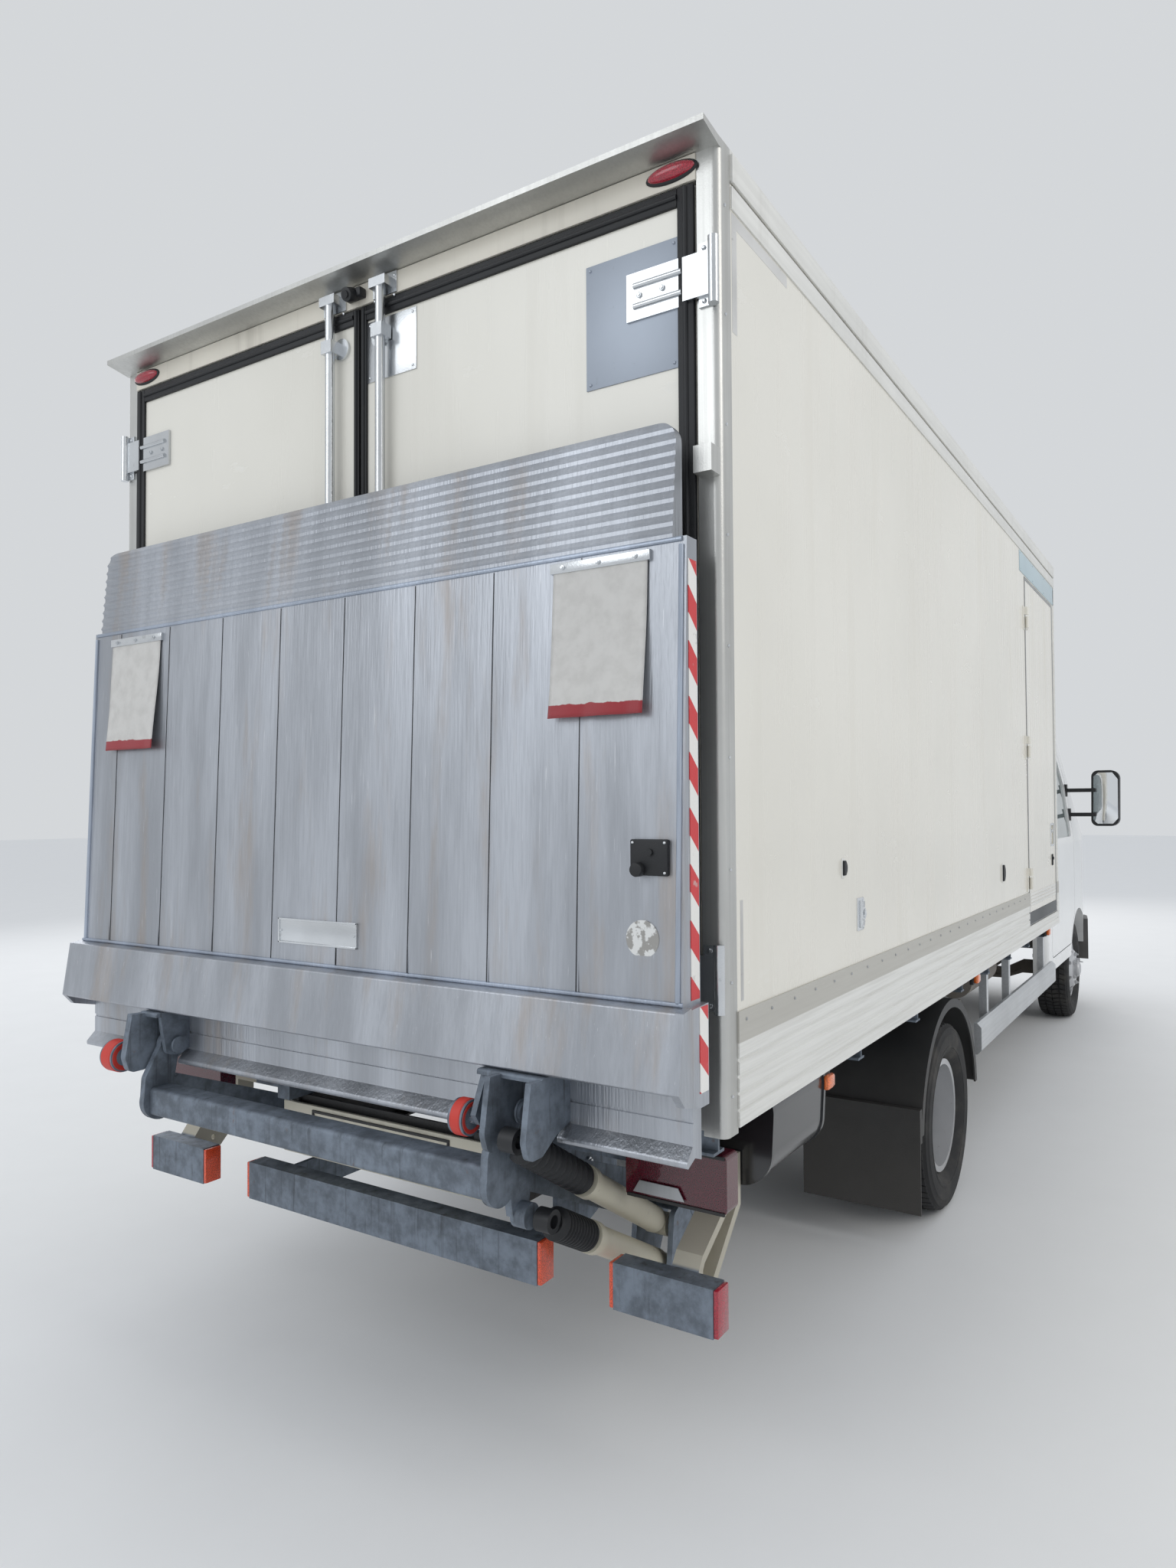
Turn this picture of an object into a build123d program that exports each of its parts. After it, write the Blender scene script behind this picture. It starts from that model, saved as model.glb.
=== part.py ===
from build123d import *
import math
import os

# Refrigerated box truck with a cantilever tail lift, standing on its six tyres with the lift
# platform closed against the rear doors. Millimetres, +X forward, +Y left, +Z up.
# Lengths along X are measured forward from the rear face of the box, and every finished
# piece is moved by FRAME_SHIFT so that the origin is under the middle of the whole truck.

# Insulated box
BOX_WIDTH = 2200
BOX_LENGTH = 4880
BOX_BOTTOM = 885
BOX_TOP = 3088
FLOOR_TOP = 1000
SIDE_WALL = 60
ROOF_WALL = 80
FRONT_WALL = 80
FRONT_CORNER = 78
POST_WIDTH = 55
PORTAL_DEPTH = 60
GUTTER_REACH = 75
SKIRT_TOP = 1070
STRIP_TOP = 1140
REAR_DOOR_WALL = 75
REAR_DOOR_GAP = 6
SEAL_WIDTH = 41

# Side door in the right wall
SIDE_DOOR_FRONT = BOX_LENGTH - 160
SIDE_DOOR_REAR = SIDE_DOOR_FRONT - 950
SIDE_DOOR_LOW = 960
SIDE_DOOR_HIGH = 2830
SIDE_DOOR_GAP = 7
SIDE_DOOR_SKIN = 25
SIDE_DOOR_STEP = 20
SIDE_HINGE_OUT = 14
SIDE_HINGE_HEIGHTS = (2600, 1910, 1210)

# Cooling unit, and the opening in the front wall for its plug
UNIT_TOP = BOX_TOP - 78
UNIT_HALF = 640
FAN_Y = 300
FAN_Z = UNIT_TOP - 280
PLUG_HALF = 400
PLUG_LOW = UNIT_TOP - 510
PLUG_HIGH = UNIT_TOP - 110

# Wheels and axles
REAR_AXLE_X = 2180
CAB_REAR = BOX_LENGTH + 160
FRONT_AXLE_X = CAB_REAR + 1490
TYRE_RADIUS = 365
TYRE_WIDTH = 225
SEAT_RADIUS = 203
FLANGE_RADIUS = 218.5
RIM_WIDTH = 168
FRONT_TRACK = 1700
TWIN_OUTER_Y = 940
TWIN_SPACING = 250
KINGPIN_Y = 700
KINGPIN_RADIUS = 18
SPINDLE_RADIUS = 32
REAR_SPINDLE_RADIUS = 40
RUNNING_FIT = 0.05

# Chassis
RAIL_OUTER_Y = 432
RAIL_FLANGE = 60
RAIL_SHEET = 7
RAIL_BOTTOM = 546
RAIL_TOP = 720
RAIL_REAR = 150
RAIL_FRONT = CAB_REAR + 2190
RUNNER_TOP = RAIL_TOP + 80
BEARER_X = (110, 620, 1150, 1820) + tuple(2540 + k * (BOX_LENGTH - 2680) / 4 for k in range(5))
TANK_FRONT = BOX_LENGTH - 240
TANK_LENGTH = 860
HITCH_Z = (RAIL_BOTTOM + RAIL_TOP) / 2
HITCH_HALF_Y = 80
HITCH_HALF_Z = 50
HITCH_HOLE = 10.5
PACK_REAR = 372
PACK_FRONT = 752

# Cab
CAB_WIDTH = 2000
CAB_TOP = 2290
CAB_BOTTOM = 520
CAB_NOSE = CAB_REAR + 2440
CAB_WALL = 40
CAB_FLOOR_LOW = 770
CAB_FLOOR_TOP = 810
FIREWALL_X = CAB_REAR + 1600
FIREWALL_SHEET = 30
ARCH_RADIUS = 460
CAB_DOOR_REAR = CAB_REAR + 190
CAB_DOOR_FRONT = CAB_REAR + 1290
CAB_DOOR_LOW = 600
CAB_DOOR_HIGH = 2150
CAB_DOOR_WALL = 45
CAB_DOOR_SKIN = 12
CAB_DOOR_GAP = 7
GLASS_SINK = 12
GLASS_SHEET = 6
BONNET_REAR = CAB_REAR + 1800
BONNET_SHEET = 26
BONNET_HALF = 870
BONNET_LOW = 1130
LAMP_LOW = 880
LAMP_HIGH = 1085
LAMP_INNER = 560
GRILLE_LOW = 770
GRILLE_HIGH = 1060
GRILLE_HALF = 430
BUMPER_HIGH = 700
BUMPER_LOW = 380
TUNNEL_HALF = 215
TUNNEL_TOP = 970
ENGINE_COVER_REAR = CAB_REAR + 1020
ENGINE_COVER_HALF = 340
ENGINE_COVER_TOP = 1118
COVER_SHEET = 20
SCUTTLE_LOW = 1352
SCUTTLE_TOP = 1385
WING_TOP = 1405

# Cab fittings
SEAT_REAR = CAB_REAR + 290
WHEEL_X = CAB_REAR + 1110
WHEEL_Y = 430
WHEEL_Z = 1330
COLUMN_LEAN = -28
MIRROR_X = CAB_DOOR_FRONT
MIRROR_Y = 1217
MIRROR_Z = 1660

# Tail lift
ARM_PIVOT = (500, 510)
PLATFORM_PIN = (-160, 910)
CROSS_TUBE = (-190, 755)
TILT_EYE = (-250, 875)
LIFT_PIVOT = (420, 360)
LIFT_EYE = (-120, 660)
ARM_Y = 625
ARM_PLATE = 20
ARM_SHAFT_RADIUS = 32
PLATFORM_PIN_RADIUS = 17
CYLINDER_Y = -707.5
BARREL_RADIUS = 34
ROD_RADIUS = 17
CYLINDER_PIN_RADIUS = 15
ROD_ROOM = 44
PLATFORM_HALF = 1076
PLATFORM_INNER = -75
PLATFORM_TOP = 2430
RAMP_LOW = 2168
FLAP_TOP = 1170
FLAP_LOW = 1016
HINGE_LIP = 845
PLANK_PITCH = 251.5
PLANK_FIRST = -820
PLANK_JOINTS = 8
CHEEKS_RIGHT = ((-605, -590), (-660, -645), (-770, -755))
CHEEKS_LEFT = ((590, 605), (645, 668))
LIFT_BARREL = 420
LIFT_ROD_HIDDEN = 250
TILT_BARREL = 440
TILT_ROD_HIDDEN = 255
TILT_FRAME_EYE = (ARM_PIVOT[0] + TILT_EYE[0] - PLATFORM_PIN[0], ARM_PIVOT[1] + TILT_EYE[1] - PLATFORM_PIN[1])

# Overall placing
BUMPER_REACH = 35
FRONT_END = CAB_NOSE + BUMPER_REACH
REAR_END = TILT_EYE[0] - 40
FRAME_SHIFT = -(FRONT_END + REAR_END) / 2

HALF = BOX_WIDTH / 2
AXLE_Z = TYRE_RADIUS


def block(x0, x1, y0, y1, z0, z1):
    """Plain block between two opposite corners."""
    return Pos((x0 + x1) / 2, (y0 + y1) / 2, (z0 + z1) / 2) * Box(x1 - x0, y1 - y0, z1 - z0)


def grown(points, by):
    """The same polygon with every edge moved outwards by a distance, or inwards where it is negative."""
    area = sum(a[0] * b[1] - b[0] * a[1] for a, b in zip(points, points[1:] + points[:1]))
    turn = 1 if area > 0 else -1
    moved = []
    for before, here, after in zip(points[-1:] + points[:-1], points, points[1:] + points[:1]):
        first = math.atan2(here[1] - before[1], here[0] - before[0])
        second = math.atan2(after[1] - here[1], after[0] - here[0])
        half_turn = (second - first) / 2
        middle = first + half_turn - turn * math.pi / 2
        reach = by / math.cos(half_turn)
        corner = here[2] if len(here) > 2 else 0
        convex = turn * math.sin(second - first) > 0
        radius = max(corner + by * (1 if convex else -1), 1) if corner else 0
        moved.append((here[0] + reach * math.cos(middle), here[1] + reach * math.sin(middle), radius))
    return moved


def outline(points, grow=0):
    """Closed polygon; a point may carry a third value, the radius of its rounded corner."""
    if grow:
        points = grown(points, grow)
    face = Polygon(*[(p[0], p[1]) for p in points], align=None)
    for p in points:
        if len(p) > 2 and p[2]:
            vertex = face.vertices().sort_by_distance((p[0], p[1], 0))[0]
            face = fillet(vertex, p[2])
    return face


def along_y(face, y0, y1):
    """Side view outline (x, z) given a thickness from y0 to y1."""
    return Pos(0, y1, 0) * (Plane.XZ.location * extrude(face, y1 - y0, dir=(0, 0, 1)))


def along_x(face, x0, x1):
    """Front view outline (y, z) given a length from x0 to x1."""
    return Pos(x0, 0, 0) * (Plane.YZ.location * extrude(face, x1 - x0, dir=(0, 0, 1)))


def along_z(face, z0, z1):
    """Plan outline (x, y) given a height from z0 to z1."""
    return Pos(0, 0, z0) * extrude(face, z1 - z0, dir=(0, 0, 1))


def rod_y(x, z, radius, y0, y1):
    return Pos(x, (y0 + y1) / 2, z) * Rot(90, 0, 0) * Cylinder(radius, y1 - y0)


def rod_x(y, z, radius, x0, x1):
    return Pos((x0 + x1) / 2, y, z) * Rot(0, 90, 0) * Cylinder(radius, x1 - x0)


def rod_z(x, y, radius, z0, z1):
    return Pos(x, y, (z0 + z1) / 2) * Cylinder(radius, z1 - z0)


def rod_between(a, b, radius, y):
    """Round bar in the plane of one y, from (x, z) a to (x, z) b."""
    length = math.hypot(b[0] - a[0], b[1] - a[1])
    tilt = math.degrees(math.atan2(b[0] - a[0], b[1] - a[1]))
    middle = Pos((a[0] + b[0]) / 2, y, (a[1] + b[1]) / 2)
    return middle * Rot(0, tilt, 0) * Cylinder(radius, length)


def mirrored(shape):
    return mirror(shape, about=Plane.XZ)


def joined(parts):
    """One shape of several pieces that touch or stand apart."""
    whole = parts[0]
    for part in parts[1:]:
        whole = whole + part
    return whole


def towards(a, b, distance):
    """Point on the line from a to b, at a distance from a."""
    length = math.hypot(b[0] - a[0], b[1] - a[1])
    return (a[0] + (b[0] - a[0]) * distance / length, a[1] + (b[1] - a[1]) * distance / length)


# Insulated box

def box_floor():
    return block(PORTAL_DEPTH, BOX_LENGTH - FRONT_WALL, -HALF + SIDE_WALL, HALF - SIDE_WALL, BOX_BOTTOM, FLOOR_TOP)


def box_roof():
    roof = block(PORTAL_DEPTH, BOX_LENGTH, -HALF, HALF, BOX_TOP - ROOF_WALL, BOX_TOP)
    corners = roof.edges().filter_by(Axis.Z).group_by(Axis.X)[-1]
    roof = fillet(corners, FRONT_CORNER)
    groove = 4
    for side in (-1, 1):
        line = block(PORTAL_DEPTH, BOX_LENGTH - FRONT_WALL, side * HALF - groove, side * HALF + groove,
                     BOX_TOP - ROOF_WALL, BOX_TOP - ROOF_WALL + 2 * groove)
        roof = roof - line
    return roof


def box_side(side, doorway=False):
    wall = block(PORTAL_DEPTH, BOX_LENGTH - FRONT_WALL, HALF - SIDE_WALL, HALF, SKIRT_TOP, BOX_TOP - ROOF_WALL)
    if side < 0:
        wall = mirrored(wall)
    if doorway:
        wall = wall - block(SIDE_DOOR_REAR, SIDE_DOOR_FRONT, -HALF - 1, -HALF + SIDE_WALL + 1,
                            SKIRT_TOP - 1, SIDE_DOOR_HIGH)
        for z in SIDE_HINGE_HEIGHTS:
            leaf = block(SIDE_DOOR_REAR - 52, SIDE_DOOR_REAR - 14, -HALF - 4, -HALF, z - 62, z + 62)
            arm = block(SIDE_DOOR_REAR - 22, SIDE_DOOR_REAR, -HALF - SIDE_HINGE_OUT - 4, -HALF, z + 20, z + 60)
            knuckle = rod_z(SIDE_DOOR_REAR, -HALF - SIDE_HINGE_OUT, 9, z + 20, z + 60)
            wall = wall + leaf + arm + knuckle
    return wall


def box_front_wall():
    wall = block(BOX_LENGTH - FRONT_WALL, BOX_LENGTH, -HALF, HALF, BOX_BOTTOM, BOX_TOP - ROOF_WALL)
    wall = fillet(wall.edges().filter_by(Axis.Z).group_by(Axis.X)[-1], FRONT_CORNER)
    plug = block(BOX_LENGTH - FRONT_WALL - 1, BOX_LENGTH + 1, -PLUG_HALF, PLUG_HALF, PLUG_LOW, PLUG_HIGH)
    return wall - plug


def rear_frame():
    post_top = BOX_TOP - 22
    post = along_z(outline([(0, HALF, 18), (0, HALF - POST_WIDTH), (PORTAL_DEPTH, HALF - POST_WIDTH),
                            (PORTAL_DEPTH, HALF)]), BOX_BOTTOM - 12, post_top)
    header = block(0, PORTAL_DEPTH, -HALF + POST_WIDTH, HALF - POST_WIDTH, BOX_TOP - ROOF_WALL - 4, BOX_TOP)
    sill = block(0, PORTAL_DEPTH, -HALF + POST_WIDTH, HALF - POST_WIDTH, BOX_BOTTOM, FLOOR_TOP)
    gutter = along_y(outline([(PORTAL_DEPTH, BOX_TOP), (0, BOX_TOP), (-GUTTER_REACH, BOX_TOP + 6),
                              (-GUTTER_REACH, BOX_TOP - 8), (0, BOX_TOP - 22), (PORTAL_DEPTH, BOX_TOP - 22)]),
                     -HALF, HALF)
    stop = block(-45, 0, -HALF + 2, -HALF + 46, 2325, 2385)
    return post + mirrored(post) + header + sill + gutter + stop


def rear_door(side):
    edge = HALF - POST_WIDTH - REAR_DOOR_GAP
    door = block(2, 2 + REAR_DOOR_WALL, 4, edge, FLOOR_TOP + REAR_DOOR_GAP,
                 BOX_TOP - ROOF_WALL - 4 - REAR_DOOR_GAP)
    low = FLOOR_TOP + REAR_DOOR_GAP
    high = BOX_TOP - ROOF_WALL - 4 - REAR_DOOR_GAP
    rebate = 6
    rim = block(0, 2 + rebate, 0, edge + 1, low - 1, high + 1)
    rim = rim - block(-1, 2 + rebate + 1, 4 + SEAL_WIDTH / 2, edge - SEAL_WIDTH, low + SEAL_WIDTH, high - SEAL_WIDTH)
    door = door - rim
    return door if side > 0 else mirrored(door)


def rear_door_gear():
    """Hinges, lock rods, guides and keepers of the rear doors."""
    face = 2
    pieces = []
    for z in (2780, 1220):
        hinge = block(-6, face, 865, 1030, z - 56, z + 56)
        for slot in (-24, 24):
            rib = rod_y(-6, z + slot, 7, 885, 1010)
            hinge = hinge + rib
        hinge = hinge + block(-14, -6, 1015, 1094, z - 50, z + 50)
        hinge = hinge + rod_z(-14, 1092, 12, z - 75, z + 75)
        hinge = hinge + block(-6, 0, 1052, 1096, z - 72, z + 72)
        pieces = pieces + [hinge, mirrored(hinge)]
    rod_top = BOX_TOP - 42
    for y in (97, -97):
        rod = rod_z(-26, y, 13.5, 1120, rod_top)
        for z in (2900, 2050, 1400):
            foot = rod_x(y - 22 * (1 if y > 0 else -1), z, 30, -6, face)
            clamp = block(-42, -4, y - 20, y + 20, z - 18, z + 18)
            rod = rod + foot + clamp
        keeper = block(-40, 0, y - 30, y + 30, rod_top - 26, rod_top)
        base = block(-8, 0, y - 44, y + 44, rod_top - 40, rod_top + 18)
        handle = block(-40, -28, min(y, y * 3.4), max(y, y * 3.4), 1300, 1325)
        catch = block(-30, face, y * 3.1 - 12, y * 3.1 + 12, 1290, 1335)
        pieces = pieces + [rod + keeper + base + handle + catch]
    return joined(pieces)


def skirt_rails():
    """Ribbed aluminium bottom rail with the riveted strip above it, one for each side."""
    inner = HALF - SIDE_WALL
    rib_depth = 4
    points = [(inner, BOX_BOTTOM), (HALF + rib_depth, BOX_BOTTOM)]
    rib_count = 4
    pitch = (SKIRT_TOP - BOX_BOTTOM) / (rib_count + 1)
    for k in range(1, rib_count + 1):
        z = BOX_BOTTOM + k * pitch
        points = points + [(HALF + rib_depth, z - 5), (HALF, z - 2), (HALF, z + 2), (HALF + rib_depth, z + 5)]
    points = points + [(HALF + rib_depth, STRIP_TOP), (HALF, STRIP_TOP), (HALF, SKIRT_TOP), (inner, SKIRT_TOP)]
    left = along_x(outline(points), PORTAL_DEPTH, BOX_LENGTH - FRONT_WALL)
    notch = block(SIDE_DOOR_REAR, SIDE_DOOR_FRONT, -HALF - 20, -HALF + SIDE_WALL + 1, SIDE_DOOR_LOW, STRIP_TOP + 1)
    return left + (mirrored(left) - notch)


def side_door():
    gap = SIDE_DOOR_GAP
    x0, x1 = SIDE_DOOR_REAR + gap, SIDE_DOOR_FRONT - gap
    z0, z1 = SIDE_DOOR_LOW + gap, SIDE_DOOR_HIGH - gap
    step = SIDE_DOOR_STEP
    skin = block(x0, x1, -HALF, -HALF + SIDE_DOOR_SKIN, z0, z1)
    core = block(x0 + step, x1 - step, -HALF + SIDE_DOOR_SKIN, -HALF + SIDE_WALL, z0 + step, z1 - step)
    core = core - block(x0, x1, -HALF + SIDE_WALL - 12, -HALF + SIDE_WALL + 1, z0, FLOOR_TOP + 60)
    door = skin + core
    pocket = block(x1 - 175, x1 - 75, -HALF - 1, -HALF + 14, 1375, 1485)
    paddle = block(x1 - 165, x1 - 85, -HALF + 5, -HALF + 15, 1390, 1440)
    door = door - pocket + paddle
    for z in SIDE_HINGE_HEIGHTS:
        strap = block(x0 + 2, x0 + 74, -HALF - 8, -HALF, z - 50, z + 10)
        arm = block(SIDE_DOOR_REAR, x0 + 20, -HALF - SIDE_HINGE_OUT - 4, -HALF - 4, z - 50, z + 10)
        knuckle = rod_z(SIDE_DOOR_REAR, -HALF - SIDE_HINGE_OUT, 9, z - 50, z + 10)
        door = door + strap + arm + knuckle
    return door


def refrigeration_unit():
    """Nose unit on the front wall, its plug through the wall and the evaporator inside."""
    x0 = BOX_LENGTH
    top = UNIT_TOP
    profile = outline([(x0, top - 610), (x0 + 400, top - 610, 40), (x0 + 450, top - 450, 60),
                       (x0 + 450, top - 110, 90), (x0 + 330, top, 60), (x0, top)])
    housing = along_y(profile, -UNIT_HALF, UNIT_HALF)
    for k in range(7):
        z = top - 420 + k * 38
        housing = housing - block(x0 + 425, x0 + 460, -UNIT_HALF + 100, -60, z, z + 20)
    housing = housing - rod_x(FAN_Y, FAN_Z, 165, x0 + 425, x0 + 460)
    housing = housing + rod_x(FAN_Y, FAN_Z, 60, x0 + 400, x0 + 445)
    plug = block(BOX_LENGTH - FRONT_WALL, x0, -PLUG_HALF, PLUG_HALF, PLUG_LOW, PLUG_HIGH)
    back = BOX_LENGTH - FRONT_WALL
    inner = outline([(back, top - 450), (back - 120, top - 450, 20), (back - 420, top - 250, 40),
                     (back - 420, top - 30, 30), (back, top - 30)])
    evaporator = along_y(inner, -520, 520)
    for y in (-260, 0, 260):
        evaporator = evaporator - rod_x(y, top - 140, 90, back - 430, back - 395)
    return housing + plug + evaporator


# Chassis

def chassis_frame():
    rail_z = RAIL_TOP - RAIL_BOTTOM
    sheet = RAIL_SHEET
    left = block(RAIL_REAR, RAIL_FRONT, RAIL_OUTER_Y - sheet, RAIL_OUTER_Y, RAIL_BOTTOM, RAIL_TOP)
    for z in (RAIL_BOTTOM, RAIL_TOP - sheet):
        left = left + block(RAIL_REAR, RAIL_FRONT, RAIL_OUTER_Y - RAIL_FLANGE, RAIL_OUTER_Y, z, z + sheet)
    frame = left + mirrored(left)
    inner = RAIL_OUTER_Y - sheet
    for x in (700, 1250, 2750, 3700, BOX_LENGTH - 180):
        frame = frame + rod_y(x, RAIL_BOTTOM + rail_z * 0.62, 38, -inner, inner)
    hitch = block(RAIL_REAR, RAIL_REAR + 8, -inner, inner, RAIL_BOTTOM, RAIL_TOP)
    for y in (-HITCH_HALF_Y, HITCH_HALF_Y):
        for z in (HITCH_Z - HITCH_HALF_Z, HITCH_Z + HITCH_HALF_Z):
            hitch = hitch - rod_x(y, z, HITCH_HOLE, RAIL_REAR - 1, RAIL_REAR + 9)
    frame = frame + hitch
    frame = frame + block(FRONT_AXLE_X - 40, FRONT_AXLE_X + 40, -inner, inner, RAIL_BOTTOM + 10, RAIL_BOTTOM + 74)
    frame = frame + block(RAIL_FRONT - 60, RAIL_FRONT, -inner, inner, RAIL_BOTTOM + 20, RAIL_TOP - 20)
    for x in (CAB_REAR + 260, CAB_REAR + 960):
        for y in (-1, 1):
            frame = frame + rod_z(x, y * (RAIL_OUTER_Y - 32), 32, RAIL_TOP, CAB_FLOOR_LOW)
    return frame


def subframe():
    """Cross bearers under the box floor, on two runners along the chassis rails."""
    runner = block(80, BOX_LENGTH - 20, RAIL_OUTER_Y - 52, RAIL_OUTER_Y, RAIL_TOP, RUNNER_TOP)
    pieces = [runner, mirrored(runner)]
    reach = HALF - SIDE_WALL - 12
    pack_room = block(PACK_REAR - 10, PACK_FRONT + 10, -HALF, -780, RUNNER_TOP - 10, BOX_BOTTOM + 1)
    for x in BEARER_X:
        web = block(x - 4, x + 4, -reach, reach, RUNNER_TOP, BOX_BOTTOM)
        foot = block(x - 28, x + 28, -reach, reach, RUNNER_TOP, RUNNER_TOP + 7)
        head = block(x - 28, x + 28, -reach, reach, BOX_BOTTOM - 7, BOX_BOTTOM)
        pieces = pieces + [web + foot + head - pack_room]
    return pieces


def rear_axle():
    tube_y = 560
    axle = rod_y(REAR_AXLE_X, AXLE_Z, 58, -tube_y, tube_y)
    axle = axle + rod_x(0, AXLE_Z, 165, REAR_AXLE_X - 75, REAR_AXLE_X + 75)
    nose = Pos(REAR_AXLE_X + 150, 0, AXLE_Z) * Rot(0, 90, 0) * Cone(130, 62, 150)
    axle = axle + nose
    for side in (-1, 1):
        y0, y1 = sorted((side * tube_y, side * (TWIN_OUTER_Y - 30)))
        axle = axle + rod_y(REAR_AXLE_X, AXLE_Z, REAR_SPINDLE_RADIUS, y0, y1)
        seat = block(REAR_AXLE_X - 60, REAR_AXLE_X + 60, side * 495 - 40, side * 495 + 40, AXLE_Z, AXLE_Z + 66)
        axle = axle + seat
    return axle


def front_axle():
    half_x = 35
    profile = outline([(-672, 306), (-600, 306), (-470, 255), (470, 255), (600, 306), (672, 306),
                       (672, 404), (600, 404), (470, 335), (-470, 335), (-600, 404), (-672, 404)])
    beam = along_x(profile, FRONT_AXLE_X - half_x, FRONT_AXLE_X + half_x)
    flute = outline([(-590, 330), (-470, 279), (470, 279), (590, 330), (590, 380), (470, 311), (-470, 311),
                     (-590, 380)])
    for x in (FRONT_AXLE_X - half_x, FRONT_AXLE_X + half_x - 22):
        beam = beam - along_x(flute, x, x + 22)
    for side in (-1, 1):
        y = side * KINGPIN_Y
        beam = beam + rod_z(FRONT_AXLE_X, y, 28, AXLE_Z - 55, AXLE_Z + 55)
        neck = sorted((side * 660, side * (KINGPIN_Y - 5)))
        beam = beam + block(FRONT_AXLE_X - 22, FRONT_AXLE_X + 22, neck[0], neck[1], AXLE_Z - 50, AXLE_Z + 38)
        beam = beam - rod_z(FRONT_AXLE_X, y, KINGPIN_RADIUS + RUNNING_FIT, AXLE_Z - 60, AXLE_Z + 60)
    return beam


def knuckle():
    """Left steering knuckle: kingpin, two lugs, web, wheel spindle and steering arm."""
    x = FRONT_AXLE_X
    y = KINGPIN_Y
    pin = rod_z(x, y, KINGPIN_RADIUS, AXLE_Z - 90, AXLE_Z + 90)
    part = pin
    for z0, z1 in ((AXLE_Z + 61, AXLE_Z + 88), (AXLE_Z - 88, AXLE_Z - 61)):
        part = part + rod_z(x, y, 32, z0, z1) + block(x - 32, x + 32, y, y + 45, z0, z1)
    part = part + block(x - 60, x + 60, y + 35, y + 60, AXLE_Z - 92, AXLE_Z + 92)
    part = part + rod_y(x, AXLE_Z, SPINDLE_RADIUS, y + 60, y + 235)
    arm = block(x - 190, x - 50, y + 38, y + 58, AXLE_Z - 88, AXLE_Z - 66)
    return part + arm


def leaf_pack(x_mid, y_mid, z_mid, half_length, rise, leaves, width):
    """Stack of leaves, each shorter than the one above it, bent up towards its ends."""
    sheet = 12
    reaches = [half_length * (1 - 0.2 * k) for k in range(leaves)]

    def height(reach):
        return z_mid + rise * (reach / half_length) ** 2

    top = [(reach, height(reach)) for reach in reaches] + [(half_length / 4, height(half_length / 4))]
    below = []
    for k, reach in enumerate(reaches):
        below = below + [(reach, height(reach) - k * sheet), (reach, height(reach) - (k + 1) * sheet)]
    half = top[::-1] + below[1:]
    points = [(x_mid + x, z) for x, z in half] + [(x_mid - x, z) for x, z in half[::-1]]
    return along_y(outline(points), y_mid - width / 2, y_mid + width / 2)


def leaf_springs():
    rear = leaf_pack(REAR_AXLE_X, 495, AXLE_Z + 114, 700, 60, 4, 76)
    for dx in (-700, 700):
        x = REAR_AXLE_X + dx
        rear = rear + rod_y(x, AXLE_Z + 165, 28, 450, 540)
        hanger = block(x - 35, x + 35, RAIL_OUTER_Y, RAIL_OUTER_Y + 22, AXLE_Z + 150, RAIL_TOP - 30)
        rear = rear + hanger
    front = leaf_pack(FRONT_AXLE_X, 400, AXLE_Z + 6, 620, 70, 3, 66)
    for dx in (-620, 620):
        x = FRONT_AXLE_X + dx
        front = front + rod_y(x, AXLE_Z + 76, 26, 365, 432)
        front = front + block(x - 24, x + 24, 380, 425, AXLE_Z + 90, RAIL_BOTTOM)
    return rear + mirrored(rear) + front + mirrored(front)


def engine_and_shaft():
    """Plain engine block with the gearbox behind it and the shaft to the rear axle."""
    engine_rear = CAB_REAR + 1090
    gearbox_rear = engine_rear - 480
    engine = block(engine_rear, engine_rear + 770, -250, 250, 640, 1090)
    sump = block(engine_rear + 510, engine_rear + 750, -160, 160, 470, 640)
    gearbox = block(gearbox_rear, engine_rear, -150, 150, 560, 900)
    rear_cone = Pos(gearbox_rear - 50, 0, 640) * Rot(0, -90, 0) * Cone(110, 60, 100)
    a = (gearbox_rear - 95, 640)
    b = (REAR_AXLE_X + 225, AXLE_Z)
    drop = rod_between(a, b, 45, 0)
    stop = block(REAR_AXLE_X, b[0], -200, 200, AXLE_Z - 200, AXLE_Z + 200)
    return engine + sump + gearbox + rear_cone + (drop - stop)


def fuel_tank():
    y0 = RAIL_OUTER_Y + 30
    face = outline([(y0, 420, 60), (y0 + 420, 420, 60), (y0 + 420, 750, 60), (y0, 750, 60)])
    rear = TANK_FRONT - TANK_LENGTH
    tank = along_x(face, rear, TANK_FRONT)
    for x in (rear + 170, TANK_FRONT - 190):
        tank = tank + block(x - 30, x + 30, RAIL_OUTER_Y, y0 + 60, 560, 700)
        strap = along_x(outline([(y0 - 6, 414, 64), (y0 + 426, 414, 64), (y0 + 426, 756, 64), (y0 - 6, 756, 64)]),
                        x - 22, x + 22)
        tank = tank + strap
    tank = tank + rod_y(rear + 460, 690, 40, y0 + 400, y0 + 450)
    return tank


def exhaust():
    y = -640
    z = 600
    front = BOX_LENGTH - 130
    tail = front - 1450
    silencer = rod_x(y, z, 105, front - 700, front)
    pipe = rod_x(y, z, 32, tail, CAB_REAR + 520)
    body = silencer + pipe
    body = body + (Pos(tail - 10, y - 90, z) * Rot(90, 0, 0) * Cylinder(32, 240))
    for x in (front - 550, front - 150):
        body = body + block(x - 20, x + 20, y, -RAIL_OUTER_Y, z + 40, z + 60)
    return body


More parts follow.
